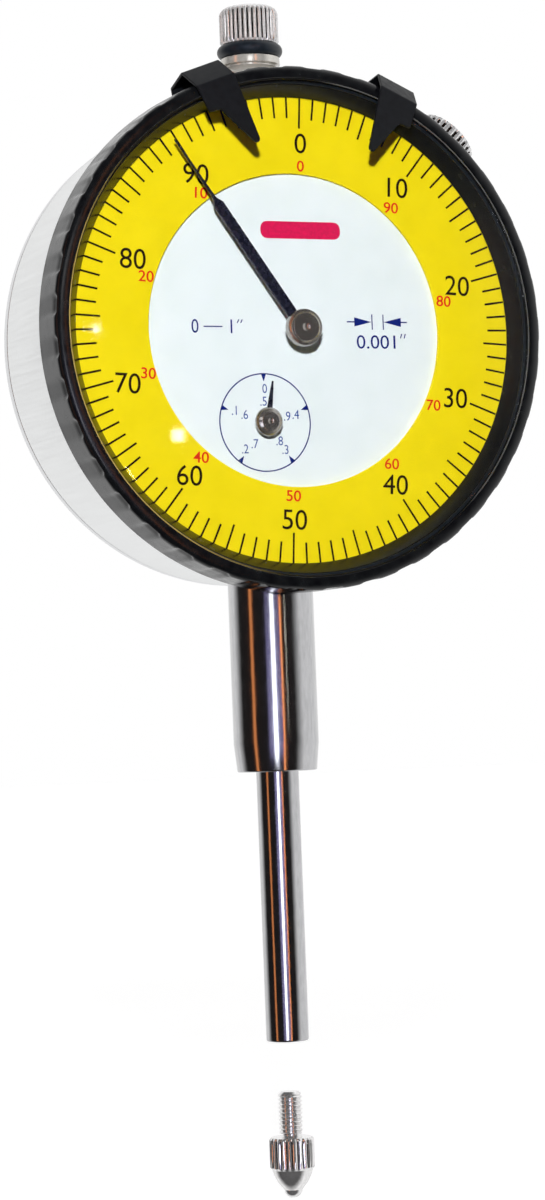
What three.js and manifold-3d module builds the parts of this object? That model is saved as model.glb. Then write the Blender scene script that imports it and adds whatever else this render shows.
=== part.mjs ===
// Dial indicator: 1 in travel, 0.001 in graduations, 2 1/4 in bezel, built piece by piece.
//
// Millimetres. +Z runs up the spindle, the dial faces -Y and +X is to the right of the dial.
// The origin is on the stem's axis, halfway along the length that a holder clamps.
// Two groups share the work: `face` has its origin at the dial's centre, on the plane of the
// graduations, with y as the depth behind it; `column` has its origin on the spindle's axis at
// the height of the dial's centre.

import * as THREE from 'three';
import { mergeVertices } from 'three/addons/utils/BufferGeometryUtils.js';
import Module from 'manifold-3d';

const wasm = await Module();
wasm.setup();

// ---------------------------------------------------------------- driving dimensions

const DIAL_HEIGHT = 38;          // stem clamp centre to dial centre
const SPINDLE_DEPTH = 10.2;      // graduation plane to the spindle's axis behind it
const SLIP = 0.05;               // radial clearance of fixed and sliding fits

const STEM_R = 4.7625;           // 3/8 in stem
const SPINDLE_R = 2.38125;       // 3/16 in spindle
const BEZEL_R = 28.65;
const BEZEL_LIP_R = 27.3;
const CASE_R = 27;
const CASE_WALL = 1.8;
const NECK_R = 26.4;             // front of the case that the bezel turns on
const SKIRT_R = 27.45;
const RING_R = 26.4;             // graduated ring
const RING_INNER_R = 17.2;

// depths behind the graduation plane
const LIP_Y = -2.9;
const DISC_Y = 0.5;
const WEB_FRONT_Y = 1.5;
const WEB_BACK_Y = 3;
const BEZEL_BACK_Y = 3;
const SKIRT_BACK_Y = 5.2;        // end of the bezel's thin skirt, which the clamp shoe presses on
const CASE_SHOULDER_Y = 5.5;
const CASE_BACK_Y = 18.9;
const COVER_BACK_Y = 20.3;

// heights from the dial's centre along the spindle
const KNOB_TOP_Z = 37.7;
const KNOB_BOTTOM_Z = 33.45;
const COLLAR_TOP_Z = 31.85;
const STEM_TOP_Z = -24.2;
const STEM_END_Z = -48.2;
const SPINDLE_END_Z = -78.2;
const CONTACT_STUD_Z = -83.8;
const CONTACT_SHOULDER_Z = -88.85;
const CONTACT_TIP_Z = -95.6;

// gear train: rack, 16-tooth pinion, 50-tooth wheel, 10-tooth centre pinion, 50-tooth spring wheel
const RACK_PITCH = 25.4 / 32;
const RACK_PINION_TEETH = 16;
const WHEEL_TEETH = 50;
const CENTRE_PINION_TEETH = 10;
const RACK_PINION_R = (RACK_PITCH * RACK_PINION_TEETH) / (2 * Math.PI);
const RACK_LINE_X = -1.88;
const COUNTER_X = RACK_LINE_X - RACK_PINION_R;
const COUNTER_Z = -10.1;
const GEAR_DISTANCE = Math.hypot(COUNTER_X, COUNTER_Z);
const GEAR_MODULE = (2 * GEAR_DISTANCE) / (WHEEL_TEETH + CENTRE_PINION_TEETH);
const WHEEL_Y = 5;
const WHEEL_THICKNESS = 0.6;

// directions of the hands at rest, clockwise from straight up as seen from the front
const LONG_HAND_DEG = -34.8;
const COUNTER_HAND_DEG = 9;

// ---------------------------------------------------------------- materials

function material(color, roughness, metalness) {
  return new THREE.MeshStandardMaterial({ color, roughness, metalness });
}

const finishes = {
  chrome: () => material(0xe6e6ea, 0.15, 1),
  steel: () => material(0xb9bcc0, 0.32, 1),
  brass: () => material(0xc9a24a, 0.35, 1),
  bronze: () => material(0xa8763a, 0.45, 1),
  satinCase: () => material(0xdcdde0, 0.4, 0.6),
  blackGloss: () => material(0x0c0d0f, 0.25, 0),
  blackSheet: () => material(0x1a1b1e, 0.5, 0.3),
  rubber: () => material(0x0a0a0a, 0.55, 0),
  yellow: () => material(0xf7dc14, 0.5, 0),
  white: () => material(0xf0f7fd, 0.5, 0),
  navyHand: () => material(0x14161f, 0.35, 0.3),
  clear: () => {
    const clear = material(0xf4f8fa, 0.05, 0);
    clear.transparent = true;
    clear.opacity = 0.2;
    return clear;
  },
};

// ---------------------------------------------------------------- solids

// Welds a geometry into one closed, outward-facing triangle mesh.
function closed(geometry) {
  const bare = geometry.index ? geometry.toNonIndexed() : geometry.clone();
  bare.deleteAttribute('normal');
  bare.deleteAttribute('uv');
  const welded = mergeVertices(bare, 1e-4);
  const position = welded.attributes.position;
  const corner = (i) => new THREE.Vector3().fromBufferAttribute(position, i);
  const index = welded.index.array;
  const kept = [];
  let volume = 0;
  for (let i = 0; i < index.length; i += 3) {
    const [a, b, c] = [index[i], index[i + 1], index[i + 2]];
    if (a === b || b === c || c === a) continue;
    kept.push(a, b, c);
    volume += corner(a).dot(corner(b).cross(corner(c)));
  }
  if (volume < 0) {
    for (let i = 0; i < kept.length; i += 3) [kept[i + 1], kept[i + 2]] = [kept[i + 2], kept[i + 1]];
  }
  welded.setIndex(kept);
  return welded;
}

function solid(geometry) {
  const mesh = closed(geometry);
  return new wasm.Manifold(new wasm.Mesh({
    numProp: 3,
    vertProperties: new Float32Array(mesh.attributes.position.array),
    triVerts: new Uint32Array(mesh.index.array),
  }));
}

function geometryOf(manifold) {
  const mesh = manifold.getMesh();
  const geometry = new THREE.BufferGeometry();
  geometry.setAttribute('position', new THREE.BufferAttribute(new Float32Array(mesh.vertProperties), 3));
  geometry.setIndex([...mesh.triVerts]);
  return geometry;
}

function cut(base, ...tools) {
  const result = tools.reduce((left, tool) => left.subtract(solid(tool)), solid(base));
  return geometryOf(result);
}

function join(first, ...others) {
  const result = others.reduce((whole, other) => whole.add(solid(other)), solid(first));
  return geometryOf(result);
}

// Turns a closed [radius, height] outline about the Y axis. An outline that touches the axis
// starts and ends on it; any other is a ring and is closed here.
function turned(outline, segments = 24) {
  const points = outline.map(([r, h]) => new THREE.Vector2(r, h));
  if (points[0].x > 0) points.push(points[0].clone());
  return closed(new THREE.LatheGeometry(points, segments));
}

// The same, about the Z axis.
function turnedUp(outline, segments = 24) {
  return turned(outline, segments).rotateX(Math.PI / 2);
}

// A turned shape with straight ribs: outline points are [radius, height, groove depth].
function ribbed(outline, ribs) {
  const points = outline.map(([r, h]) => new THREE.Vector2(r, h));
  const depths = outline.map((point) => point[2] ?? 0);
  if (points[0].x > 0) {
    points.push(points[0].clone());
    depths.push(depths[0]);
  }
  const geometry = new THREE.LatheGeometry(points, ribs * 2);
  const position = geometry.attributes.position;
  for (let i = 0; i < position.count; i += 1) {
    const isValley = Math.floor(i / points.length) % 2 === 1;
    const r = Math.hypot(position.getX(i), position.getZ(i));
    if (!isValley || r < 1e-6) continue;
    const scale = (r - depths[i % points.length]) / r;
    position.setX(i, position.getX(i) * scale);
    position.setZ(i, position.getZ(i) * scale);
  }
  return closed(geometry);
}

function disc(r, low, high, segments = 24) {
  return turned([[0, low], [r, low], [r, high], [0, high]], segments);
}

function tube(outer, inner, low, high, segments = 24) {
  return turned([[outer, low], [outer, high], [inner, high], [inner, low]], segments);
}

function box(low, high) {
  const size = high.map((value, i) => value - low[i]);
  const middle = high.map((value, i) => (value + low[i]) / 2);
  return new THREE.BoxGeometry(...size).translate(...middle);
}

// A plate cut from an (x, z) outline, between two depths.
function plate(shape, low, high, curveSegments = 12) {
  const slab = new THREE.ExtrudeGeometry(shape, { depth: high - low, bevelEnabled: false, curveSegments });
  return closed(slab.rotateX(Math.PI / 2).translate(0, high, 0));
}

function polygon(points) {
  return new THREE.Shape(points.map(([x, z]) => new THREE.Vector2(x, z)));
}

// The outline of a bar of radius r from one (x, z) point to another.
function barShape([ax, az], [bx, bz], r) {
  const along = Math.atan2(bz - az, bx - ax);
  const shape = new THREE.Shape();
  shape.absarc(ax, az, r, along + Math.PI / 2, along + (3 * Math.PI) / 2, false);
  shape.absarc(bx, bz, r, along - Math.PI / 2, along + Math.PI / 2, false);
  return shape;
}

function at(geometry, x, y, z) {
  return geometry.translate(x, y, z);
}

// ---------------------------------------------------------------- assembly

const indicator = new THREE.Group();
indicator.name = 'dial_indicator';

const face = new THREE.Group();
face.position.set(0, -SPINDLE_DEPTH, DIAL_HEIGHT);

const column = new THREE.Group();
column.position.set(0, 0, DIAL_HEIGHT);

indicator.add(face, column);

function add(group, name, geometry, finish) {
  const mesh = new THREE.Mesh(closed(geometry), finishes[finish]());
  mesh.name = name;
  group.add(mesh);
  return mesh;
}

// ---------------------------------------------------------------- case

const BOSS_CIRCLE_R = 23.2;
const BOSS_DEGREES = [55, 125, 235, 305];
const BOSS_R = 2.1;
const BOSS_HOLE_R = 0.9;
const CLAMP_DEG = 45;
const CLAMP_Y = 8.6;
const FOOT_POINTS = [[-15, 9], [15, -9]];
const FRAME_HOLE_R = 0.8;
const PIVOT_R = 0.35;

function onCircle(r, degrees) {
  const angle = THREE.MathUtils.degToRad(degrees);
  return [r * Math.sin(angle), r * Math.cos(angle)];
}

const bossPoints = BOSS_DEGREES.map((degrees) => onCircle(BOSS_CIRCLE_R, degrees));
const springWheelPoint = [-COUNTER_X, -COUNTER_Z];

function upright(geometry) {
  return geometry.rotateX(Math.PI / 2);
}

function caseBody() {
  const inner = CASE_R - CASE_WALL;
  let shell = turned([
    [0, WEB_FRONT_Y], [NECK_R, WEB_FRONT_Y], [NECK_R, 1.9], [25.9, 1.9], [25.9, 2.7], [NECK_R, 2.7],
    [NECK_R, CASE_SHOULDER_Y], [CASE_R, CASE_SHOULDER_Y], [CASE_R, CASE_BACK_Y], [inner, CASE_BACK_Y],
    [inner, WEB_BACK_Y], [0, WEB_BACK_Y],
  ], 48);
  const boss = () => disc(BOSS_R, WEB_BACK_Y - 0.5, CASE_BACK_Y - 1.2, 12);
  const bosses = bossPoints.map(([x, z]) => at(boss(), x, 0, z));
  shell = join(shell, ...bosses);
  const stemHole = at(upright(disc(STEM_R + SLIP, -28, STEM_TOP_Z + 1, 20)), 0, SPINDLE_DEPTH, 0);
  const collarHole = at(upright(disc(3 + SLIP, 23, 28, 20)), 0, SPINDLE_DEPTH, 0);
  const clampHole = upright(disc(1.3, 25, 28, 12)).rotateY(THREE.MathUtils.degToRad(CLAMP_DEG));
  clampHole.translate(0, CLAMP_Y, 0);
  const webHoles = [
    at(disc(0.6, 1, 4, 16), 0, 0, 0),
    at(disc(0.75, 1, 4, 16), COUNTER_X, 0, COUNTER_Z),
    at(disc(PIVOT_R + 0.1, 2.2, 4, 12), springWheelPoint[0], 0, springWheelPoint[1]),
    ...FOOT_POINTS.map(([x, z]) => at(disc(FRAME_HOLE_R, 1, 4, 12), x, 0, z)),
  ];
  const bossHoles = bossPoints.map(([x, z]) => at(disc(BOSS_HOLE_R, 12, CASE_BACK_Y, 10), x, 0, z));
  return cut(shell, stemHole, collarHole, clampHole, ...webHoles, ...bossHoles);
}

const LUG_HALF_THICKNESS = 3.175;
const LUG_HOLE_R = 3.2;
const LUG_END_Y = 35.6;
const LUG_HALF_HEIGHT = 7;

function backCover() {
  const disk = turned([
    [0, CASE_BACK_Y - 0.9], [25.05, CASE_BACK_Y - 0.9], [25.05, CASE_BACK_Y], [CASE_R, CASE_BACK_Y],
    [CASE_R, COVER_BACK_Y - 0.35], [CASE_R - 0.35, COVER_BACK_Y], [0, COVER_BACK_Y],
  ], 48);
  const profile = new THREE.Shape();
  const centreY = LUG_END_Y - LUG_HALF_HEIGHT;
  profile.moveTo(COVER_BACK_Y - 0.6, -LUG_HALF_HEIGHT);
  profile.lineTo(centreY, -LUG_HALF_HEIGHT);
  profile.absarc(centreY, 0, LUG_HALF_HEIGHT, -Math.PI / 2, Math.PI / 2, false);
  profile.lineTo(COVER_BACK_Y - 0.6, LUG_HALF_HEIGHT);
  const hole = new THREE.Path();
  hole.absarc(centreY, 0, LUG_HOLE_R, 0, 2 * Math.PI, true);
  profile.holes.push(hole);
  const lug = new THREE.ExtrudeGeometry(profile, {
    depth: 2 * LUG_HALF_THICKNESS, bevelEnabled: false, curveSegments: 14,
  });
  // the outline's first axis becomes y, its second z, and its depth x
  const turn = new THREE.Matrix4().makeBasis(
    new THREE.Vector3(0, 1, 0), new THREE.Vector3(0, 0, 1), new THREE.Vector3(1, 0, 0),
  );
  lug.applyMatrix4(turn).translate(-LUG_HALF_THICKNESS, 0, 0);
  const holes = bossPoints.map(([x, z]) => at(disc(1.3, 10, 30, 12), x, 0, z));
  return cut(join(disk, lug), ...holes);
}

// A screw along Y with its slotted head at the back.
function screw(headR, headHeight, shankR, seatY, tipY) {
  const body = turned([
    [0, tipY], [shankR, tipY], [shankR, seatY], [headR, seatY], [headR * 0.95, seatY + headHeight],
    [0, seatY + headHeight],
  ], 10);
  const slotFloor = seatY + headHeight * 0.55;
  const slot = box([-headR * 1.2, slotFloor, -0.25], [headR * 1.2, slotFloor + 2, 0.25]);
  return cut(body, slot);
}

add(face, 'case_body', caseBody(), 'satinCase');
add(face, 'back_cover', backCover(), 'satinCase');
bossPoints.forEach(([x, z], i) => {
  const geometry = at(screw(2, 0.95, BOSS_HOLE_R - SLIP, COVER_BACK_Y, 12.6), x, 0, z);
  add(face, `back_cover_screw_${i + 1}`, geometry, 'steel');
});

// ---------------------------------------------------------------- stem and upper bushing

const BUSH_R = 3.4;
const BUSH_TOP_Z = -39;
const RUNNING_R = SPINDLE_R + SLIP;

function stem() {
  return turnedUp([
    [2.75, STEM_TOP_Z], [STEM_R, STEM_TOP_Z], [STEM_R, -45.1], [4.45, STEM_END_Z + 0.25],
    [4.2, STEM_END_Z], [BUSH_R + SLIP, STEM_END_Z], [BUSH_R + SLIP, BUSH_TOP_Z], [2.75, BUSH_TOP_Z],
  ], 20);
}

function upperBushing() {
  return turnedUp([
    [RUNNING_R, 24.4], [3, 24.4], [3, 27.05], [4.3, 27.05], [4.3, 29.9], [3.05, 30.75], [3, 30.95],
    [3.35, 31.05], [3.3, COLLAR_TOP_Z], [RUNNING_R, COLLAR_TOP_Z],
  ], 20);
}

add(column, 'stem', stem(), 'chrome');
add(column, 'stem_bush', tube(BUSH_R, RUNNING_R, STEM_END_Z + 0.05, BUSH_TOP_Z - 0.05, 20)
  .rotateX(Math.PI / 2), 'bronze');
add(column, 'upper_bushing', upperBushing(), 'chrome');

// ---------------------------------------------------------------- spindle

const RACK_TOP_Z = -8.1;
const RACK_TEETH = 37;
const RACK_ADDENDUM = 0.2;
const RACK_DEDENDUM = 0.3;
const GUIDE_PIN_Z = -2;
const SPRING_PIN_Z = -4.6;
const TIP_BORE_R = 1.5;
const TIP_BORE_DEPTH = 6.4;
const NOSE_R = 1.6;
const NOSE_TOP_Z = 36.3;

// Everything to the left of the rack's teeth, as an outline in (x, z).
function rackCutter() {
  const tipX = RACK_LINE_X - RACK_ADDENDUM;
  const rootX = RACK_LINE_X + RACK_DEDENDUM;
  const tipHalf = RACK_PITCH * 0.13;
  const rootHalf = RACK_PITCH * 0.32;
  const points = [[-4, RACK_TOP_Z], [tipX, RACK_TOP_Z]];
  const firstGap = COUNTER_Z + RACK_PITCH * 2;
  for (let i = 0; i < RACK_TEETH; i += 1) {
    const gap = firstGap - i * RACK_PITCH;
    const halfOpen = RACK_PITCH / 2 - tipHalf;
    const halfRoot = RACK_PITCH / 2 - rootHalf;
    points.push([tipX, gap + halfOpen], [rootX, gap + halfRoot]);
    points.push([rootX, gap - halfRoot], [tipX, gap - halfOpen]);
  }
  const bottom = firstGap - RACK_TEETH * RACK_PITCH;
  points.push([tipX, bottom], [-4, bottom]);
  return plate(polygon(points), -4, 4);
}

function spindle() {
  const rod = turnedUp([
    [0, SPINDLE_END_Z + TIP_BORE_DEPTH], [TIP_BORE_R, SPINDLE_END_Z + TIP_BORE_DEPTH],
    [TIP_BORE_R, SPINDLE_END_Z], [SPINDLE_R - 0.25, SPINDLE_END_Z], [SPINDLE_R, SPINDLE_END_Z + 0.25],
    [SPINDLE_R, KNOB_BOTTOM_Z - 0.02], [NOSE_R, KNOB_BOTTOM_Z - 0.02],
    [NOSE_R, NOSE_TOP_Z], [0, NOSE_TOP_Z],
  ], 20);
  const guideHole = at(disc(0.8, 0.5, 3, 12), 0, 0, GUIDE_PIN_Z);
  const springHole = at(disc(0.65, 0.5, 3, 12).rotateZ(-Math.PI / 2), 0, 0, SPRING_PIN_Z);
  return cut(rod, rackCutter(), guideHole, springHole);
}

function liftingKnob() {
  return ribbed([
    [0, KNOB_TOP_Z], [2.5, KNOB_TOP_Z - 0.1, 0], [3.05, KNOB_TOP_Z - 0.35, 0.1],
    [3.3, KNOB_TOP_Z - 0.8, 0.2], [3.3, KNOB_BOTTOM_Z + 0.25, 0.2], [3.15, KNOB_BOTTOM_Z, 0.05],
    [NOSE_R + SLIP, KNOB_BOTTOM_Z], [NOSE_R + SLIP, NOSE_TOP_Z + 0.2], [0, NOSE_TOP_Z + 0.2],
  ], 18).rotateX(Math.PI / 2);
}

function bumperRing() {
  const middle = (KNOB_BOTTOM_Z + COLLAR_TOP_Z) / 2;
  const half = (KNOB_BOTTOM_Z - COLLAR_TOP_Z) / 2 - 0.02;
  const outline = [[RUNNING_R, middle - half * 0.75]];
  for (let i = 0; i <= 4; i += 1) {
    const angle = THREE.MathUtils.lerp(-Math.PI / 2, Math.PI / 2, i / 4);
    outline.push([2.9 + half * Math.cos(angle), middle + half * Math.sin(angle)]);
  }
  outline.push([RUNNING_R, middle + half * 0.75]);
  return turnedUp(outline, 20);
}

add(column, 'spindle', spindle(), 'chrome');
add(column, 'lifting_knob', liftingKnob(), 'chrome');
add(column, 'bumper_ring', bumperRing(), 'rubber');
add(column, 'guide_pin', at(disc(0.75, 0.55, 5.9, 12), 0, 0, GUIDE_PIN_Z), 'steel');
add(column, 'spring_pin', at(disc(0.6, 0.55, 6.2, 12).rotateZ(-Math.PI / 2), 0, 0, SPRING_PIN_Z), 'steel');

// ---------------------------------------------------------------- contact point

function contactPoint() {
  return ribbed([
    [0, CONTACT_TIP_Z], [0.7, CONTACT_TIP_Z + 0.2], [1.1, CONTACT_TIP_Z + 0.9],
    [2.25, -92.5], [2.53, -92.25, 0.15], [2.53, CONTACT_SHOULDER_Z - 0.25, 0.15],
    [2.3, CONTACT_SHOULDER_Z], [1.1, CONTACT_SHOULDER_Z], [1.38, CONTACT_SHOULDER_Z + 0.6],
    [1.38, CONTACT_STUD_Z - 0.3], [1.1, CONTACT_STUD_Z], [0, CONTACT_STUD_Z],
  ], 14).rotateX(Math.PI / 2);
}

add(column, 'contact_point', contactPoint(), 'steel');

// ---------------------------------------------------------------- dial and movement frame

const BRIDGE_FRONT_Y = 6.7;
const BRIDGE_BACK_Y = 7.4;
const REAR_BRIDGE_FRONT_Y = 13.3;
const REAR_BRIDGE_BACK_Y = 14.2;
const RAIL_FRONT_Y = 14.4;
const RAIL_BACK_Y = 15.8;
const CENTRE_PILLARS = [[-12.5, 3], [12.5, -3]];
const REAR_PILLARS = [[-14.5, -15.5], [-14.5, -4.5]];
const RAIL_PILLARS = [[8.5, 20.5], [8.5, -8]];
const PILLAR_R = 1.5;

function dialDisc() {
  const shape = new THREE.Shape();
  shape.absarc(0, 0, 20.4, 0, 2 * Math.PI, false);
  const centre = new THREE.Path();
  centre.absarc(0, 0, 0.9, 0, 2 * Math.PI, true);
  const counter = new THREE.Path();
  counter.absarc(COUNTER_X, COUNTER_Z, 0.9, 0, 2 * Math.PI, true);
  shape.holes.push(centre, counter);
  return plate(shape, DISC_Y, DISC_Y + 0.4, 12);
}

function pillar(topY) {
  const boreR = FRAME_HOLE_R - 0.1;
  return turned([
    [0, WEB_BACK_Y], [PILLAR_R, WEB_BACK_Y], [PILLAR_R, topY],
    [boreR, topY], [boreR, topY - 2.6], [0, topY - 2.6],
  ], 12);
}

function pierced(points, r, low, high) {
  return points.map(([x, z]) => at(disc(r, low, high, 10), x, 0, z));
}

function centreBridge() {
  const across = plate(barShape(...CENTRE_PILLARS, 2.3), BRIDGE_FRONT_Y, BRIDGE_BACK_Y, 5);
  const arm = plate(barShape([0, 0], springWheelPoint, 2.3), BRIDGE_FRONT_Y, BRIDGE_BACK_Y, 5);
  const holes = [
    ...pierced(CENTRE_PILLARS, FRAME_HOLE_R, 6, 9),
    ...pierced([[0, 0], springWheelPoint], PIVOT_R + 0.1, 6, 9),
  ];
  return cut(join(across, arm), ...holes);
}

function rearBridge() {
  const middle = [REAR_PILLARS[0][0], COUNTER_Z];
  const bar = (from, to) => plate(barShape(from, to, 2.3), REAR_BRIDGE_FRONT_Y, REAR_BRIDGE_BACK_Y, 5);
  const post = bar(...REAR_PILLARS);
  const arm = bar(middle, [COUNTER_X, COUNTER_Z]);
  const holes = [
    ...pierced(REAR_PILLARS, FRAME_HOLE_R, 12, 16),
    ...pierced([[COUNTER_X, COUNTER_Z]], PIVOT_R + 0.1, 12, 16),
  ];
  return cut(join(post, arm), ...holes);
}

// A slotted bar that keeps the spindle from turning, on two ears.
function guideRail() {
  const bar = box([-2.6, RAIL_FRONT_Y, -8.5], [2.6, RAIL_BACK_Y, 24.1]);
  const ears = RAIL_PILLARS.map(([x, z]) => (
    plate(barShape([0, z * 0.98], [x, z], 1.9), RAIL_FRONT_Y, RAIL_BACK_Y, 5)));
  const slot = box([-0.85, RAIL_FRONT_Y - 1, GUIDE_PIN_Z - 1], [0.85, RAIL_BACK_Y + 1, GUIDE_PIN_Z + 26.3]);
  return cut(join(bar, ...ears), slot, ...pierced(RAIL_PILLARS, FRAME_HOLE_R, 13, 18));
}

function addFrame(name, pillarPoints, seatY, backY) {
  pillarPoints.forEach(([x, z], i) => {
    add(face, `${name}_pillar_${i + 1}`, at(pillar(seatY), x, 0, z), 'brass');
    add(face, `${name}_screw_${i + 1}`, at(screw(1.4, 0.7, 0.65, backY, seatY - 2.3), x, 0, z), 'steel');
  });
}

add(face, 'dial_disc', dialDisc(), 'white');
FOOT_POINTS.forEach(([x, z], i) => {
  add(face, `dial_foot_${i + 1}`, at(disc(FRAME_HOLE_R - SLIP, DISC_Y + 0.4, 2.7, 12), x, 0, z), 'brass');
});
add(face, 'centre_bridge', centreBridge(), 'brass');
addFrame('centre', CENTRE_PILLARS, BRIDGE_FRONT_Y, BRIDGE_BACK_Y);
add(face, 'rear_bridge', rearBridge(), 'brass');
addFrame('rear', REAR_PILLARS, REAR_BRIDGE_FRONT_Y, REAR_BRIDGE_BACK_Y);
add(face, 'guide_rail', guideRail(), 'steel');
addFrame('rail', RAIL_PILLARS, RAIL_FRONT_Y, RAIL_BACK_Y);

// ---------------------------------------------------------------- return spring

const SPRING_X = 4.8;
const SPRING_POST_Z = -21;
const SPRING_TURNS = 7;
const SPRING_COIL_R = 1.5;
const SPRING_WIRE_R = 0.2;

class Coil extends THREE.Curve {
  constructor(radiusAt, bottom, top, turns) {
    super();
    Object.assign(this, { radiusAt, bottom, top, turns });
  }

  getPoint(t, target = new THREE.Vector3()) {
    const angle = 2 * Math.PI * this.turns * t;
    const r = this.radiusAt(t);
    const height = THREE.MathUtils.lerp(this.bottom, this.top, t);
    return target.set(r * Math.cos(angle), r * Math.sin(angle), height);
  }
}

function wire(curve, r, sides, steps) {
  const section = new THREE.Shape();
  section.absarc(0, 0, r, 0, 2 * Math.PI, false);
  return closed(new THREE.ExtrudeGeometry(section, {
    extrudePath: curve, steps, bevelEnabled: false, curveSegments: sides,
  }));
}

function returnSpring() {
  const bottom = SPRING_POST_Z + 0.7 + SPRING_WIRE_R + 0.1;
  const top = SPRING_PIN_Z - 0.6 - SPRING_WIRE_R - 0.1;
  const coil = new Coil(() => SPRING_COIL_R, bottom, top, SPRING_TURNS);
  return at(wire(coil, SPRING_WIRE_R, 3, SPRING_TURNS * 8), SPRING_X, SPINDLE_DEPTH, 0);
}

add(face, 'spring_post', at(disc(0.7, WEB_BACK_Y, 11.8, 12), SPRING_X, 0, SPRING_POST_Z), 'steel');
add(face, 'return_spring', returnSpring(), 'steel');

// ---------------------------------------------------------------- gear train

// A gear's outline. One tooth is centred on the direction `toothDeg`, measured from +x to +z.
function gearShape(teeth, module, toothDeg, { addendum = 0.8, dedendum = 1.15, fullness = 0.4 } = {}) {
  const pitchR = (teeth * module) / 2;
  const tipR = pitchR + addendum * module;
  const rootR = pitchR - dedendum * module;
  const step = (2 * Math.PI) / teeth;
  const corners = [
    [rootR, -fullness * 0.72], [tipR, -fullness * 0.25], [tipR, fullness * 0.25], [rootR, fullness * 0.72],
  ];
  const points = [];
  for (let i = 0; i < teeth; i += 1) {
    const middle = THREE.MathUtils.degToRad(toothDeg) + i * step;
    for (const [r, share] of corners) {
      const angle = middle + share * step;
      points.push([r * Math.cos(angle), r * Math.sin(angle)]);
    }
  }
  return polygon(points);
}

function wheel(toothDeg, boreR) {
  const shape = gearShape(WHEEL_TEETH, GEAR_MODULE, toothDeg);
  const bore = new THREE.Path();
  bore.absarc(0, 0, boreR, 0, 2 * Math.PI, true);
  shape.holes.push(bore);
  return plate(shape, WHEEL_Y, WHEEL_Y + WHEEL_THICKNESS, 8);
}

const toCounterDeg = THREE.MathUtils.radToDeg(Math.atan2(COUNTER_Z, COUNTER_X));
const halfWheelTooth = 180 / WHEEL_TEETH;

function centreArbor() {
  const pinion = plate(gearShape(CENTRE_PINION_TEETH, GEAR_MODULE, toCounterDeg), 4.2, 6.3);
  const arbor = turned([[0, -2], [0.45, -2], [0.45, 6.5], [PIVOT_R, 6.5], [PIVOT_R, 7.3], [0, 7.3]], 16);
  return join(pinion, arbor);
}

function rackPinionArbor() {
  const module = RACK_PITCH / Math.PI;
  const pinion = plate(gearShape(RACK_PINION_TEETH, module, 0), 9.2, 11.2);
  const arbor = turned([
    [0, -0.7], [0.45, -0.7], [0.45, 1.2], [0.6, 1.2], [0.6, 13], [PIVOT_R, 13], [PIVOT_R, 14], [0, 14],
  ], 16);
  return at(join(pinion, arbor), COUNTER_X, 0, COUNTER_Z);
}

const HAIRSPRING_HALF_THICKNESS = 0.06;

function hairspring() {
  const spiral = new Coil((t) => THREE.MathUtils.lerp(1.5, 4.2, t), 0, 0, 3.25);
  const points = spiral.getPoints(40);
  const edge = (offset) => points.map((p) => {
    const scale = 1 + offset / p.length();
    return [p.x * scale, p.y * scale];
  });
  const outline = [...edge(HAIRSPRING_HALF_THICKNESS), ...edge(-HAIRSPRING_HALF_THICKNESS).reverse()];
  return plate(polygon(outline), 5.9, 6.3);
}

add(face, 'centre_pinion', centreArbor(), 'steel');
const driveWheel = wheel(toCounterDeg + 180 + halfWheelTooth, 0.65);
add(face, 'rack_pinion', rackPinionArbor(), 'steel');
add(face, 'drive_wheel', at(driveWheel, COUNTER_X, 0, COUNTER_Z), 'brass');

const springGroup = new THREE.Group();
springGroup.position.set(springWheelPoint[0], 0, springWheelPoint[1]);
face.add(springGroup);
add(springGroup, 'spring_wheel', wheel(toCounterDeg + halfWheelTooth, 0.5), 'brass');
add(springGroup, 'spring_wheel_arbor', turned([
  [0, 2.3], [PIVOT_R, 2.3], [PIVOT_R, 3.2], [0.45, 3.2], [0.45, 6.5],
  [PIVOT_R, 6.5], [PIVOT_R, 7.3], [0, 7.3],
], 16), 'steel');
add(springGroup, 'hairspring_collet', tube(1.1, 0.5, 5.7, 6.4, 16), 'brass');
add(springGroup, 'hairspring', hairspring(), 'steel');

// ---------------------------------------------------------------- hands

const LONG_HAND_Y = -1.75;
const HAND_THICKNESS = 0.25;

// A hand pointing straight up from its own centre: half widths at distances from the centre.
function handShape(halfWidths) {
  const right = halfWidths.map(([z, half]) => [half, z]);
  const left = halfWidths.map(([z, half]) => [-half, z]).reverse();
  return polygon([...right, ...left]);
}

function addHand(name, halfWidths, low, high, boreR, [x, z], degrees) {
  const blade = plate(handShape(halfWidths), low, high);
  const ring = disc(boreR + 0.7, low, high, 16);
  const geometry = cut(join(blade, ring), disc(boreR, low - 1, high + 1, 16));
  add(face, name, at(geometry.rotateY(THREE.MathUtils.degToRad(degrees)), x, 0, z), 'navyHand');
}

addHand('long_hand', [[0, 0.62], [16.3, 0.6], [17, 0.2], [24.65, 0.12]],
  LONG_HAND_Y, LONG_HAND_Y + HAND_THICKNESS, 0.5, [0, 0], LONG_HAND_DEG);
addHand('counter_hand', [[0, 0.42], [4.5, 0.1]],
  -0.45, -0.25, 0.5, [COUNTER_X, COUNTER_Z], COUNTER_HAND_DEG);

add(face, 'long_hand_hub', turned([
  [0, -2.5], [1.0, -2.62], [1.75, -2.62], [1.8, -2.4], [2.25, -2.3], [2.3, LONG_HAND_Y - 0.03],
  [0.5, LONG_HAND_Y - 0.03], [0.5, -2.1], [0, -2.1],
], 18), 'chrome');
add(face, 'counter_hand_hub', at(turned([
  [0, -1.1], [0.9, -1.15], [1.35, -0.95], [1.6, -0.5], [0.5, -0.5], [0.5, -0.8], [0, -0.8],
], 20), COUNTER_X, 0, COUNTER_Z), 'chrome');

// ---------------------------------------------------------------- bezel

const SCALLOPS = 40;
const SCALLOP_DEPTH = 0.5;
const POCKET_R = RING_R + 0.2;

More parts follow.
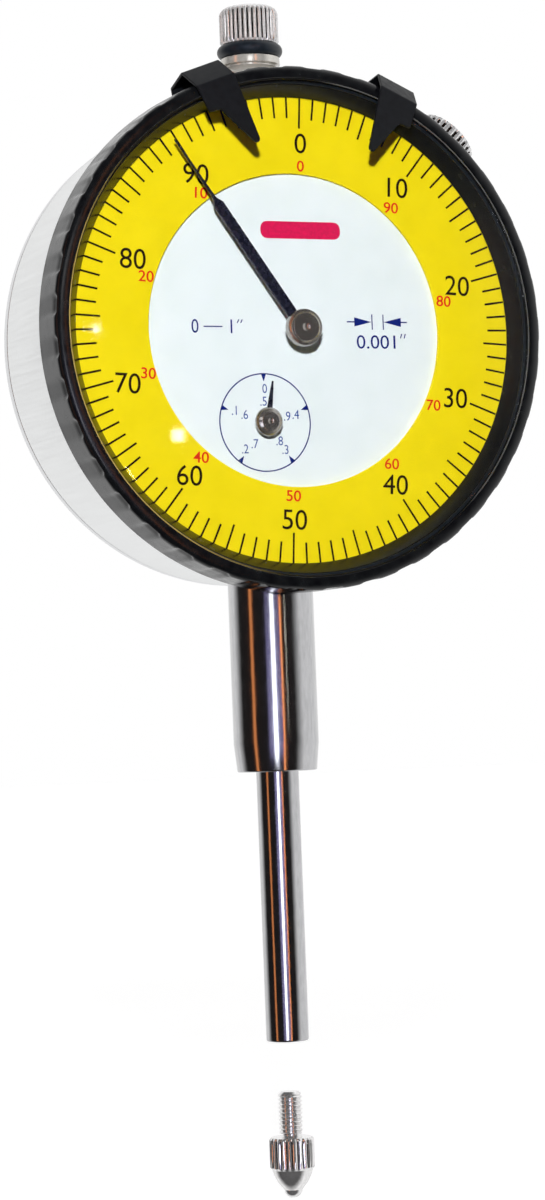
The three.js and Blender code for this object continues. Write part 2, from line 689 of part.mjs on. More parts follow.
function bezel() {
  return ribbed([
    [BEZEL_R, BEZEL_BACK_Y, 0], [BEZEL_R, -2, SCALLOP_DEPTH], [28.2, -2.6, SCALLOP_DEPTH * 0.4],
    [BEZEL_LIP_R, LIP_Y], [BEZEL_LIP_R - 0.1, -1.75], [26.7, -1.75],
    [25.5, -0.12], [POCKET_R, -0.12], [POCKET_R, 1.85], [27.15, 1.85], [27.15, 2.75], [POCKET_R, 2.75],
    [POCKET_R, SKIRT_BACK_Y], [SKIRT_R, SKIRT_BACK_Y], [SKIRT_R, BEZEL_BACK_Y],
  ], SCALLOPS);
}

function crystal() {
  return turned([
    [0, -4.1], [9, -3.95], [18, -3.5], [27.1, -2.65], [27.1, -1.95], [26.3, -1.95], [18, -2.75],
    [9, -3.15], [0, -3.3],
  ], 40);
}

function retainingRing() {
  const shape = new THREE.Shape();
  shape.absarc(0, 0, 26.95, 0.08, 2 * Math.PI - 0.08, false);
  shape.absarc(0, 0, 26.1, 2 * Math.PI - 0.08, 0.08, true);
  return plate(shape, 2, 2.6, 18);
}

add(face, 'bezel', bezel(), 'blackGloss');
add(face, 'crystal', crystal(), 'clear');
add(face, 'crystal_seal', tube(27.1, 26.78, -1.93, -1.77, 32), 'rubber');
add(face, 'dial_ring', tube(RING_R, RING_INNER_R, 0, 0.4, 48), 'yellow');
add(face, 'bezel_retaining_ring', retainingRing(), 'steel');

// ---------------------------------------------------------------- limit markers

const SHEET = 0.3;
const MARKER_HALF_WIDTH = 2.33;
const MARKER_DEG = { left: -20.4, right: 24.9 };

// The bent strip's outer line in (radius, depth), from the finger's tip to the hook.
const markerLine = [[20.35, -5.45], [28.27, -3.58], [30.36, -0.95], [29.4, 3.3], [27.7, 4.05]];

// The strip's section: the outer line and the same line one sheet thickness inside it.
function stripShape(line, thickness) {
  const points = line.map(([r, y]) => new THREE.Vector2(r, y));
  const sides = points.slice(1).map((point, i) => point.clone().sub(points[i]).normalize());
  const inner = points.map((point, i) => {
    const before = sides[Math.max(i - 1, 0)];
    const after = sides[Math.min(i, sides.length - 1)];
    const bisector = before.clone().add(after).normalize();
    const normal = new THREE.Vector2(-bisector.y, bisector.x);
    const stretch = thickness / normal.dot(new THREE.Vector2(-after.y, after.x));
    return point.clone().addScaledVector(normal, stretch);
  });
  return new THREE.Shape([...points, ...inner.reverse()]);
}

// The finger's straight edge is on the side that faces the other marker.
function limitMarker(side) {
  const strip = new THREE.ExtrudeGeometry(stripShape(markerLine, SHEET), {
    depth: 2 * MARKER_HALF_WIDTH, bevelEnabled: false,
  });
  // the section's first axis becomes z, its second y, and its depth runs across in x
  const turn = new THREE.Matrix4().makeBasis(
    new THREE.Vector3(0, 0, 1), new THREE.Vector3(0, 1, 0), new THREE.Vector3(1, 0, 0),
  );
  strip.applyMatrix4(turn).translate(-MARKER_HALF_WIDTH, 0, 0);
  const outline = [
    [2.5, 33], [-2.5, 33], [-2.5, 25.2], [-0.95, 25], [0.85, 20.75], [1.25, 20.4], [1.65, 20.7],
    [2.33, 28], [2.5, 28],
  ].map(([x, z]) => [side * x, z]);
  const blank = plate(polygon(outline), -8, 8);
  return geometryOf(solid(strip).intersect(solid(blank)));
}

for (const [name, side] of [['left', 1], ['right', -1]]) {
  const turn = THREE.MathUtils.degToRad(MARKER_DEG[name]);
  add(face, `limit_marker_${name}`, limitMarker(side).rotateY(turn), 'blackSheet');
}

// ---------------------------------------------------------------- bezel clamp

const CLAMP_TOP = 33.3;
const CLAMP_HEAD_R = 3.7;
const SHOE_FRONT_Y = 4.4;        // behind the markers' hooks, so that they pass it
const SHOE_TOP = 28.6;
const SHOE_HALF_WIDTH = 2.6;

const clamp = new THREE.Group();
clamp.position.set(0, CLAMP_Y, 0);
clamp.rotation.y = THREE.MathUtils.degToRad(CLAMP_DEG);
face.add(clamp);

function clampShoe() {
  const low = [-SHOE_HALF_WIDTH, SHOE_FRONT_Y - CLAMP_Y, SKIRT_R + 0.15];
  const body = box(low, [SHOE_HALF_WIDTH, 3.4, SHOE_TOP]);
  return cut(body, disc(1.5, 20, 30, 16).rotateX(Math.PI / 2));
}

function clampScrew() {
  return ribbed([
    [0, 25.6], [1, 25.6], [1, SHOE_TOP + 0.3], [CLAMP_HEAD_R - 0.3, SHOE_TOP + 0.3],
    [CLAMP_HEAD_R, SHOE_TOP + 0.6, 0.25],
    [CLAMP_HEAD_R, CLAMP_TOP - 0.3, 0.25], [CLAMP_HEAD_R - 0.3, CLAMP_TOP], [0, CLAMP_TOP],
  ], 14).rotateX(Math.PI / 2);
}

add(clamp, 'clamp_shoe', clampShoe(), 'steel');
add(clamp, 'clamp_screw', clampScrew(), 'chrome');

export default indicator;
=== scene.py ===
"""Dial indicator: fine meshes, procedural materials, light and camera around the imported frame.

Outlines are in millimetres. A piece of the dial is drawn about the dial's centre, with y as the
depth behind the plane of the graduations; a piece of the spindle is drawn about the spindle's
axis at the height of the dial's centre.
"""

import math

import bmesh
import bpy
from mathutils import Matrix, Quaternion, Vector


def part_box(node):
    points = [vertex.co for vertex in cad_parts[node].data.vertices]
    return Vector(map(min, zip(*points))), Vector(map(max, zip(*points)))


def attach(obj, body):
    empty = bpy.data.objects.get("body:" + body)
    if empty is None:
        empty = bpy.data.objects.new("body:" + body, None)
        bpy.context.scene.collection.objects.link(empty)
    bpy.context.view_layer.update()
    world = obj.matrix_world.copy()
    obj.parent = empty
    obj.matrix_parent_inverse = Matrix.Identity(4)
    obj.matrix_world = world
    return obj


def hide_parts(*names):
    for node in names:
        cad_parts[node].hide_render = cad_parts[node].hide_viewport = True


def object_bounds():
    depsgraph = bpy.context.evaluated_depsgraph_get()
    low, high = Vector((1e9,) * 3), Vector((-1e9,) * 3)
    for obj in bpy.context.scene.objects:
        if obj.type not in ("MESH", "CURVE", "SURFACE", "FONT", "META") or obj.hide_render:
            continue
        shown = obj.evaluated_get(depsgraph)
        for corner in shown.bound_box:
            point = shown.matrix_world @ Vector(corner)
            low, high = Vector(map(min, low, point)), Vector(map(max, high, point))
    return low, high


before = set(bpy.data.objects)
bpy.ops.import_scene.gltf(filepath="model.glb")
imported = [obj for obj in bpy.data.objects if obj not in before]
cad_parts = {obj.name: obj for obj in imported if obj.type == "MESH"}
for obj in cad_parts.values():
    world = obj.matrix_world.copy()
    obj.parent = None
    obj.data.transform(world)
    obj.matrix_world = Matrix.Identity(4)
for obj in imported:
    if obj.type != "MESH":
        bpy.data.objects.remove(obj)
cad_low, cad_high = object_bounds()

MM = 0.001
TAU = 2 * math.pi

# ---------------------------------------------------------------- places from the frame


def middle(node):
    """The middle of a CAD node's box, in millimetres."""
    low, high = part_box(node)
    return (low + high) / 2 / MM


DIAL = Vector((middle("dial_ring").x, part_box("dial_ring")[0].y / MM, middle("dial_ring").z))
COLUMN = Vector((middle("stem").x, middle("stem").y, DIAL.z))
COUNTER = middle("counter_hand_hub") - DIAL
COUNTER.y = 0
CLAMP_DEPTH = middle("clamp_screw").y - DIAL.y

# ---------------------------------------------------------------- materials


def new_material(name):
    material = bpy.data.materials.new(name)
    material.use_nodes = True
    return material, material.node_tree, material.node_tree.nodes["Principled BSDF"]


def object_coordinates(tree, stretch):
    coordinates = tree.nodes.new("ShaderNodeTexCoord")
    mapping = tree.nodes.new("ShaderNodeMapping")
    mapping.inputs["Scale"].default_value = stretch
    tree.links.new(coordinates.outputs["Object"], mapping.inputs["Vector"])
    return mapping.outputs["Vector"]


def noise(tree, vector, scale, detail=4):
    node = tree.nodes.new("ShaderNodeTexNoise")
    node.inputs["Scale"].default_value = scale
    node.inputs["Detail"].default_value = detail
    tree.links.new(vector, node.inputs["Vector"])
    return node.outputs["Fac"]


def ramp(tree, value, stops):
    node = tree.nodes.new("ShaderNodeValToRGB")
    elements = node.color_ramp.elements
    while len(elements) < len(stops):
        elements.new(0.5)
    for element, (position, colour) in zip(elements, stops):
        element.position = position
        element.color = (*colour, 1)
    tree.links.new(value, node.inputs["Fac"])
    return node.outputs["Color"]


def spread(tree, value, low, high):
    node = tree.nodes.new("ShaderNodeMapRange")
    node.inputs["From Min"].default_value = 0.3
    node.inputs["From Max"].default_value = 0.7
    node.inputs["To Min"].default_value = low
    node.inputs["To Max"].default_value = high
    tree.links.new(value, node.inputs["Value"])
    return node.outputs["Result"]


RELIEF_HEIGHT = 0.02


def surface(name, colours, roughness, size=1.0, stretch=(1, 1, 1), bump=0.0, bump_size=None, **sockets):
    """A finish whose colour, roughness and relief come from noise. size is the noise's grain in mm."""
    material, tree, shader = new_material(name)
    vector = object_coordinates(tree, stretch)
    cloud = noise(tree, vector, 1 / (size * MM))
    tree.links.new(ramp(tree, cloud, [(0.3, colours[0]), (0.7, colours[1])]), shader.inputs["Base Color"])
    tree.links.new(spread(tree, cloud, *roughness), shader.inputs["Roughness"])
    if bump:
        relief = tree.nodes.new("ShaderNodeBump")
        relief.inputs["Strength"].default_value = bump
        relief.inputs["Distance"].default_value = RELIEF_HEIGHT * MM
        grain = noise(tree, vector, 1 / ((bump_size or size) * MM), detail=6)
        tree.links.new(grain, relief.inputs["Height"])
        tree.links.new(relief.outputs["Normal"], shader.inputs["Normal"])
    for socket, value in sockets.items():
        shader.inputs[socket.replace("_", " ")].default_value = value
    return material


def metal(name, dark, light, roughness, **options):
    return surface(name, (dark, light), roughness, Metallic=1.0, **options)


SQUARE_ON_MIRROR = 0.04
MIRROR_POWER = 5


def crystal_material():
    """Clear plastic: light passes straight through, and its skin mirrors more at a low angle."""
    material, tree, shader = new_material("clear_crystal")
    tree.nodes.remove(shader)
    clear = tree.nodes.new("ShaderNodeBsdfTransparent")
    gloss = tree.nodes.new("ShaderNodeBsdfGlossy")
    facing = tree.nodes.new("ShaderNodeLayerWeight")
    power = tree.nodes.new("ShaderNodeMath")
    mirrored = tree.nodes.new("ShaderNodeMapRange")
    mix = tree.nodes.new("ShaderNodeMixShader")
    vector = object_coordinates(tree, (1, 1, 1))
    haze = noise(tree, vector, 400)
    tree.links.new(spread(tree, haze, 0.02, 0.05), gloss.inputs["Roughness"])
    tint = ramp(tree, haze, [(0.3, (0.985, 0.99, 0.985)), (0.7, (1, 1, 1))])
    tree.links.new(tint, clear.inputs["Color"])
    power.operation = "POWER"
    power.inputs[1].default_value = MIRROR_POWER
    mirrored.inputs["To Min"].default_value = SQUARE_ON_MIRROR
    tree.links.new(facing.outputs["Facing"], power.inputs[0])
    tree.links.new(power.outputs["Value"], mirrored.inputs["Value"])
    tree.links.new(mirrored.outputs["Result"], mix.inputs["Fac"])
    tree.links.new(clear.outputs["BSDF"], mix.inputs[1])
    tree.links.new(gloss.outputs["BSDF"], mix.inputs[2])
    tree.links.new(mix.outputs["Shader"], tree.nodes["Material Output"].inputs["Surface"])
    return material


EDGE_REACH = 28


def edge_light_material():
    """The crystal's polished edge as a painted reflection: gold from the yellow ring on one side, dark in the
    middle, a faint painted grey highlight at the far end.
    """
    material, tree, shader = new_material("crystal_edge_painted_reflection")
    vector = object_coordinates(tree, (1, 1, 1))
    slant = tree.nodes.new("ShaderNodeVectorMath")
    slant.operation = "DOT_PRODUCT"
    slant.inputs[1].default_value = (1, 0, 0.35)
    tree.links.new(vector, slant.inputs[0])
    across = tree.nodes.new("ShaderNodeMapRange")
    across.inputs["From Min"].default_value = -EDGE_REACH * MM
    across.inputs["From Max"].default_value = EDGE_REACH * MM
    tree.links.new(slant.outputs["Value"], across.inputs["Value"])
    # painted reflection by place across the ring: gold at one side, near black between, a faint grey
    # highlight at the other end
    colour = ramp(tree, across.outputs["Result"], [
        (0.0, (0.55, 0.40, 0.12)), (0.33, (0.38, 0.27, 0.07)), (0.5, (0.012, 0.010, 0.006)),
        (0.95, (0.010, 0.010, 0.010)), (1.0, (0.10, 0.10, 0.10)),
    ])
    tree.links.new(colour, shader.inputs["Base Color"])
    tree.links.new(spread(tree, noise(tree, vector, 900), 0.4, 0.5), shader.inputs["Roughness"])
    shader.inputs["Specular IOR Level"].default_value = 0.15
    return material


def ink(name, colour):
    """A print that is a little thinner in places."""
    faded = tuple(channel * 0.8 + 0.004 for channel in colour)
    return surface(name, (faded, colour), (0.45, 0.6), size=0.3, bump=0.1, Specular_IOR_Level=0.1)


FINISH = {
    "chrome": metal("chrome", (0.46, 0.46, 0.47), (0.54, 0.54, 0.55), (0.12, 0.18), size=0.5,
                    stretch=(1, 1, 0.3), bump=0.05, bump_size=0.3),
    "knurled_chrome": surface("knurled_chrome", ((0.72, 0.71, 0.71), (0.97, 0.96, 0.96)), (0.10, 0.22),
                              size=0.3, bump=0.2, bump_size=0.15, Metallic=0.62),
    "contact_chrome": surface("contact_chrome", ((0.74, 0.73, 0.73), (0.92, 0.91, 0.91)), (0.10, 0.18),
                              size=0.3, bump=0.1, bump_size=0.15, Metallic=0.86),
    "collar_chrome": surface("collar_chrome", ((0.62, 0.59, 0.54), (0.72, 0.69, 0.64)), (0.12, 0.20),
                             size=0.4, bump=0.05, bump_size=0.3, Metallic=0.55),
    # painted shade: near-black metal for the faces at the bottoms of knurls, where shade falls
    "knurl_groove_painted_shade": metal("knurl_groove_painted_shade", (0.03, 0.028, 0.026), (0.10, 0.095, 0.09), (0.3, 0.5), size=0.2,
                          bump=0.2),
    "hub_chrome": surface("hub_chrome", ((0.36, 0.33, 0.31), (0.44, 0.41, 0.39)), (0.16, 0.22), size=0.5,
                          bump=0.02, bump_size=0.3, Metallic=0.88),
    "steel": metal("steel", (0.40, 0.40, 0.41), (0.56, 0.56, 0.58), (0.22, 0.38), size=0.3,
                   stretch=(1, 1, 4), bump=0.2),
    "brass": metal("brass", (0.55, 0.36, 0.10), (0.72, 0.50, 0.17), (0.25, 0.40), size=0.4, bump=0.2),
    "bronze": metal("bronze", (0.42, 0.24, 0.09), (0.55, 0.33, 0.13), (0.30, 0.50), size=0.4, bump=0.3),
    "case_satin": metal("case_satin", (0.84, 0.85, 0.85), (0.88, 0.89, 0.89), (0.32, 0.42), size=0.3,
                        stretch=(1, 0.03, 1), bump=0.06, bump_size=0.2),
    "cover_satin": metal("cover_satin", (0.74, 0.75, 0.76), (0.85, 0.85, 0.86), (0.30, 0.42), size=0.4,
                         stretch=(0.02, 1, 1), bump=0.15, bump_size=0.2),
    "bezel_black": surface("bezel_black", ((0.003, 0.003, 0.004), (0.007, 0.008, 0.009)), (0.16, 0.28),
                           size=1.2, bump=0.05, bump_size=0.3, Specular_IOR_Level=0.38),
    "black_sheet": surface("black_sheet", ((0.004, 0.0045, 0.006), (0.008, 0.009, 0.011)), (0.45, 0.58),
                           size=0.6, bump=0.15, bump_size=0.1, Specular_IOR_Level=0.25),
    "rubber": surface("rubber", ((0.006, 0.009, 0.013), (0.012, 0.017, 0.024)), (0.35, 0.50), size=0.5,
                      bump=0.15, bump_size=0.2, Specular_IOR_Level=0.45),
    "dial_yellow": surface("dial_yellow", ((0.90, 0.71, 0.005), (0.94, 0.75, 0.008)), (0.50, 0.60),
                           size=3.0, bump=0.12, bump_size=0.15, Specular_IOR_Level=0.2),
    "dial_white": surface("dial_white", ((0.85, 0.92, 0.95), (0.88, 0.95, 0.98)), (0.50, 0.60), size=3.0,
                          bump=0.08, bump_size=0.15, Specular_IOR_Level=0.2),
    "hand_dark": surface("hand_dark", ((0.004, 0.005, 0.012), (0.010, 0.012, 0.030)), (0.20, 0.35),
                         size=0.5, bump=0.1, bump_size=0.2, Specular_IOR_Level=0.7),
    "crystal": crystal_material(),
    "crystal_edge_painted_reflection": edge_light_material(),
    "ink_dark": ink("ink_dark", (0.012, 0.004, 0.002)),
    "ink_red": ink("ink_red", (0.85, 0.030, 0.010)),
    "ink_navy": ink("ink_navy", (0.004, 0.016, 0.20)),
    "ink_blue": ink("ink_blue", (0.03, 0.08, 0.36)),
    "ink_crimson": ink("ink_crimson", (0.80, 0.012, 0.10)),
}

# ---------------------------------------------------------------- mesh tools

FRONT_UP = Matrix.Rotation(math.pi / 2, 4, "X")


def rounded(outline, steps=5):
    """An outline whose points may carry a third number, the radius that rounds that corner."""
    result = []
    for i, point in enumerate(outline):
        corner = Vector(point[:2])
        if len(point) < 3:
            result.append(tuple(corner))
            continue
        before = Vector(outline[i - 1][:2]) - corner
        after = Vector(outline[(i + 1) % len(outline)][:2]) - corner
        reach = point[2] / math.tan(before.angle(after) / 2)
        start = corner + before.normalized() * min(reach, before.length * 0.48)
        end = corner + after.normalized() * min(reach, after.length * 0.48)
        for step in range(steps + 1):
            t = step / steps
            result.append(tuple(start * (1 - t) ** 2 + corner * 2 * t * (1 - t) + end * t * t))
    return result


def revolved(outline, segments=160, ripple=None, upright=False):
    """Turns an outline of (radius, height) about Y, or about Z if upright. ripple(r, h, angle) is
    added to the radius. An outline that starts and ends on the axis stays open there."""
    mesh = bmesh.new()
    on_axis = outline[0][0] < 1e-6
    rings = []
    for turn in range(segments):
        angle = TAU * turn / segments
        ring = []
        for r, h in outline:
            reach = r + (ripple(r, h, angle) if ripple and r > 1e-6 else 0)
            ring.append(mesh.verts.new((reach * math.sin(angle), h, reach * math.cos(angle))))
        rings.append(ring)
    sides = len(outline) - (1 if on_axis else 0)
    for turn in range(segments):
        left, right = rings[turn], rings[(turn + 1) % segments]
        for i in range(sides):
            j = (i + 1) % len(outline)
            mesh.faces.new((left[i], left[j], right[j], right[i]))
    bmesh.ops.remove_doubles(mesh, verts=mesh.verts, dist=1e-5)
    bmesh.ops.dissolve_degenerate(mesh, dist=1e-6, edges=mesh.edges)
    bmesh.ops.recalc_face_normals(mesh, faces=mesh.faces)
    if upright:
        mesh.transform(FRONT_UP)
    return mesh


def column_turned(outline, segments=128, ripple=None):
    return revolved(rounded(outline), segments, ripple, upright=True)


def of_curve(curve, depth):
    """The mesh of a flat curve or lettering, standing in the dial's plane at a depth."""
    holder = bpy.data.objects.new("holder", curve)
    bpy.context.scene.collection.objects.link(holder)
    graph = bpy.context.evaluated_depsgraph_get()
    data = bpy.data.meshes.new_from_object(holder.evaluated_get(graph))
    mesh = bmesh.new()
    mesh.from_mesh(data)
    bpy.data.objects.remove(holder)
    bpy.data.curves.remove(curve)
    bpy.data.meshes.remove(data)
    bmesh.ops.remove_doubles(mesh, verts=mesh.verts, dist=1e-5)
    mesh.transform(Matrix.Translation((0, depth, 0)) @ FRONT_UP)
    return mesh


def flat(loops, low, high, bevel=0.0):
    """A plate between two depths, from closed loops of (x, z); loops inside others are holes."""
    curve = bpy.data.curves.new("outline", "CURVE")
    curve.dimensions = "2D"
    curve.fill_mode = "BOTH"
    curve.extrude = (high - low) / 2 - bevel
    curve.bevel_depth = bevel
    curve.bevel_resolution = 2
    curve.offset = -bevel
    for loop in loops:
        spline = curve.splines.new("POLY")
        spline.points.add(len(loop) - 1)
        for point, (x, z) in zip(spline.points, loop):
            point.co = (x, z, 0, 1)
        spline.use_cyclic_u = True
    return of_curve(curve, (low + high) / 2)


def circle(r, x=0.0, z=0.0, steps=96):
    return [(x + r * math.sin(TAU * i / steps), z + r * math.cos(TAU * i / steps)) for i in range(steps)]


def on_circle(r, degrees):
    angle = math.radians(degrees)
    return r * math.sin(angle), r * math.cos(angle)


def merged(meshes):
    whole = bmesh.new()
    for mesh in meshes:
        data = bpy.data.meshes.new("part")
        mesh.to_mesh(data)
        mesh.free()
        whole.from_mesh(data)
        bpy.data.meshes.remove(data)
    return whole


def with_boolean(base, tool, operation):
    """base and tool joined ("UNION") or base cut by tool ("DIFFERENCE"). Both are used up."""
    holders = []
    for mesh in (base, tool):
        data = bpy.data.meshes.new("operand")
        mesh.to_mesh(data)
        mesh.free()
        holder = bpy.data.objects.new("operand", data)
        bpy.context.scene.collection.objects.link(holder)
        holders.append(holder)
    modifier = holders[0].modifiers.new("boolean", "BOOLEAN")
    modifier.operation = operation
    modifier.object = holders[1]
    modifier.solver = "EXACT"
    graph = bpy.context.evaluated_depsgraph_get()
    result = bmesh.new()
    result.from_mesh(holders[0].evaluated_get(graph).data)
    for holder in holders:
        data = holder.data
        bpy.data.objects.remove(holder)
        bpy.data.meshes.remove(data)
    return result


def softened(mesh, width, degrees=35, segments=2):
    """Rounds the edges that are sharper than an angle."""
    sharp = [e for e in mesh.edges if len(e.link_faces) == 2
             and e.calc_face_angle() > math.radians(degrees)]
    bmesh.ops.bevel(mesh, geom=sharp, offset=width, segments=segments, affect="EDGES", clamp_overlap=True)
    return mesh


def block(low, high):
    mesh = bmesh.new()
    bmesh.ops.create_cube(mesh, size=1)
    size = [b - a for a, b in zip(low, high)]
    centre = [(b + a) / 2 for a, b in zip(low, high)]
    mesh.transform(Matrix.Translation(centre) @ Matrix.Diagonal((*size, 1)))
    return mesh


def piece(name, mesh, finish, body, stands_for=(), place=DIAL, smooth=32, groove=None):
    """Makes the object of a mesh drawn about a place, gives it its finish and lets it ride. A face
    whose middle passes the groove test gets painted shade, a near-black finish for the shaded bottom of a
    knurl."""
    grooves = [groove(face.calc_center_median()) for face in mesh.faces] if groove else []
    mesh.transform(Matrix.Scale(MM, 4) @ Matrix.Translation(place))
    data = bpy.data.meshes.new(name)
    mesh.to_mesh(data)
    mesh.free()
    data.shade_smooth()
    data.set_sharp_from_angle(angle=math.radians(smooth))
    data.materials.append(FINISH[finish])
    # faces in the grooves get the painted shade finish
    if groove:
        data.materials.append(FINISH["knurl_groove_painted_shade"])
        data.polygons.foreach_set("material_index", [int(flag) for flag in grooves])
    made = bpy.data.objects.new(name, data)
    bpy.context.scene.collection.objects.link(made)
    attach(made, body)
    if stands_for:
        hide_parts(*stands_for)


# ---------------------------------------------------------------- case and back

CASE_R = 27
CASE_INNER_R = 25.2
NECK_R = 26.4
WEB_FRONT = 1.5
WEB_BACK = 3
CASE_SHOULDER = 5.5
CASE_BACK = 18.9
COVER_BACK = 20.3
STEM_R = 4.7625
SPINDLE_R = 2.38125
SLIP = 0.05
SPINDLE_DEPTH = COLUMN.y - DIAL.y
BOSS_R = 2.1
BOSS_HOLE_R = 0.9
BOSSES = [on_circle(23.2, degrees) for degrees in (55, 125, 235, 305)]
RETAINER_GROOVE_R = 25.9
RETAINER_FRONT, RETAINER_BACK = 1.9, 2.7
ARBOR_HOLE_R, COUNTER_HOLE_R = 0.6, 0.75
COLLAR_R = 3
CLAMP_TURN = Matrix.Rotation(math.radians(45), 4, "Y")
CLAMP_HOLE_R = 1.3
COVER_SPIGOT_R = 25.05
COVER_SPIGOT_FRONT = CASE_BACK - 0.9
COVER_LINE = COVER_BACK - 0.12
COVER_HOLE_R = 1.3
LUG_HALF_THICKNESS, LUG_HALF_HEIGHT = 3.175, 7.0
LUG_START, LUG_END = COVER_BACK - 0.6, 35.6
LUG_HOLE_R = 3.2


def bar(r, low, high, x=0.0, z=0.0, upright=False, segments=48):
    """A plain round cutter or boss along Y, or along Z if upright."""
    mesh = revolved([(0, low), (r, low), (r, high), (0, high)], segments, upright=upright)
    mesh.transform(Matrix.Translation((x, 0, z)))
    return mesh


def make_case():
    shell = revolved(rounded([
        (0, WEB_FRONT), (NECK_R, WEB_FRONT, 0.1), (NECK_R, RETAINER_FRONT),
        (RETAINER_GROOVE_R, RETAINER_FRONT), (RETAINER_GROOVE_R, RETAINER_BACK), (NECK_R, RETAINER_BACK),
        (NECK_R, CASE_SHOULDER), (CASE_R, CASE_SHOULDER, 0.3), (CASE_R, CASE_BACK, 0.12),
        (CASE_INNER_R, CASE_BACK), (CASE_INNER_R, WEB_BACK), (0, WEB_BACK),
    ]), 256)
    for x, z in BOSSES:
        shell = with_boolean(shell, bar(BOSS_R, WEB_BACK - 0.5, CASE_BACK - 1.2, x, z), "UNION")
    cutters = [bar(BOSS_HOLE_R, 12, CASE_BACK, x, z) for x, z in BOSSES]
    cutters += [bar(ARBOR_HOLE_R, 1, 4), bar(COUNTER_HOLE_R, 1, 4, COUNTER.x, COUNTER.z)]
    for r, low, high in ((STEM_R + SLIP, -28, -23.2), (COLLAR_R + SLIP, 23, 28)):
        hole = bar(r, low, high, upright=True)
        hole.transform(Matrix.Translation((0, SPINDLE_DEPTH, 0)))
        cutters.append(hole)
    clamp_hole = bar(CLAMP_HOLE_R, 24, 28, upright=True)
    clamp_hole.transform(Matrix.Translation((0, CLAMP_DEPTH, 0)) @ CLAMP_TURN)
    cutters.append(clamp_hole)
    for cutter in cutters:
        shell = with_boolean(shell, cutter, "DIFFERENCE")
    return shell


def make_cover():
    """The cover with its turned line near the rim, the lug, and the holes for its screws."""
    disk = revolved(rounded([
        (0, COVER_SPIGOT_FRONT), (COVER_SPIGOT_R, COVER_SPIGOT_FRONT), (COVER_SPIGOT_R, CASE_BACK),
        (CASE_R, CASE_BACK, 0.12), (CASE_R, COVER_BACK, 0.45), (24.6, COVER_BACK, 0.1),
        (24.5, COVER_LINE, 0.1), (24.2, COVER_LINE, 0.1), (24.1, COVER_BACK, 0.1), (0, COVER_BACK),
    ]), 256)
    lug_centre = LUG_END - LUG_HALF_HEIGHT
    arch = [(lug_centre + LUG_HALF_HEIGHT * math.cos(a), LUG_HALF_HEIGHT * math.sin(a))
            for a in (math.radians(-90 + 180 * i / 32) for i in range(33))]
    outline = [(LUG_START, -LUG_HALF_HEIGHT), *arch, (LUG_START, LUG_HALF_HEIGHT)]
    lug = flat([outline, circle(LUG_HOLE_R, lug_centre, 0, 64)],
               -LUG_HALF_THICKNESS, LUG_HALF_THICKNESS, bevel=0.35)
    # the plate's first axis becomes y, its thickness x
    lug.transform(Matrix(((0, 1, 0, 0), (1, 0, 0, 0), (0, 0, 1, 0), (0, 0, 0, 1))))
    bmesh.ops.recalc_face_normals(lug, faces=lug.faces)
    cover = with_boolean(disk, lug, "UNION")
    for x, z in BOSSES:
        cover = with_boolean(cover, bar(COVER_HOLE_R, 10, 30, x, z), "DIFFERENCE")
    return cover


SCREW_HEAD_R, SCREW_HEAD_HEIGHT = 2, 0.95
SCREW_SHANK_R, SCREW_TIP = 0.85, 12.6
SCREW_SLOT_HALF_WIDTH = 0.25


def make_cover_screw():
    top = COVER_BACK + SCREW_HEAD_HEIGHT
    body = revolved(rounded([
        (0, SCREW_TIP), (SCREW_SHANK_R, SCREW_TIP, 0.15), (SCREW_SHANK_R, COVER_BACK),
        (SCREW_HEAD_R, COVER_BACK), (SCREW_HEAD_R, top, 0.3), (0, top),
    ]), 64)
    slot_floor = COVER_BACK + SCREW_HEAD_HEIGHT * 0.55
    slot_cutter = block((-SCREW_HEAD_R * 1.2, slot_floor, -SCREW_SLOT_HALF_WIDTH),
                        (SCREW_HEAD_R * 1.2, top + 1, SCREW_SLOT_HALF_WIDTH))
    return with_boolean(body, slot_cutter, "DIFFERENCE")


piece("case_shell", make_case(), "case_satin", "case", ["case_body"])
piece("rear_cover", make_cover(), "cover_satin", "case", ["back_cover"])
for number, (x, z) in enumerate(BOSSES, 1):
    screw = make_cover_screw()
    slot_turn = Matrix.Rotation(math.radians(20 + 67 * number), 4, "Y")
    screw.transform(Matrix.Translation((x, 0, z)) @ slot_turn)
    piece(f"cover_screw_{number}", screw, "steel", "case", [f"back_cover_screw_{number}"])

# ---------------------------------------------------------------- stem, bushing, spindle

RUNNING_R = SPINDLE_R + SLIP
STEM_TOP, STEM_END = -24.2, -48.2
STEM_TAPER, STEM_END_R = -45.1, 4.45
STEM_BORE_R = 2.75
BUSH_TOP, BUSH_R = -39, 3.45
KNOB_TOP, KNOB_BOTTOM, COLLAR_TOP = 37.7, 33.45, 31.85
NOSE_TOP = 36.3
SPINDLE_END = -78.2
NOSE_R = 1.6
TAPPED_TOP, TAPPED_R = -71.8, 1.5

piece("stem_tube", column_turned([
    (STEM_BORE_R, STEM_TOP), (STEM_R, STEM_TOP), (STEM_R, STEM_TAPER, 0.1), (STEM_END_R, STEM_END, 0.2),
    (BUSH_R, STEM_END, 0.05), (BUSH_R, BUSH_TOP), (STEM_BORE_R, BUSH_TOP),
]), "chrome", "case", ["stem"], place=COLUMN)
piece("stem_bushing", column_turned([
    (RUNNING_R, STEM_END + SLIP, 0.15), (BUSH_R - SLIP, STEM_END + SLIP, 0.1),
    (BUSH_R - SLIP, BUSH_TOP - SLIP), (RUNNING_R, BUSH_TOP - SLIP),
]), "bronze", "case", ["stem_bush"], place=COLUMN)

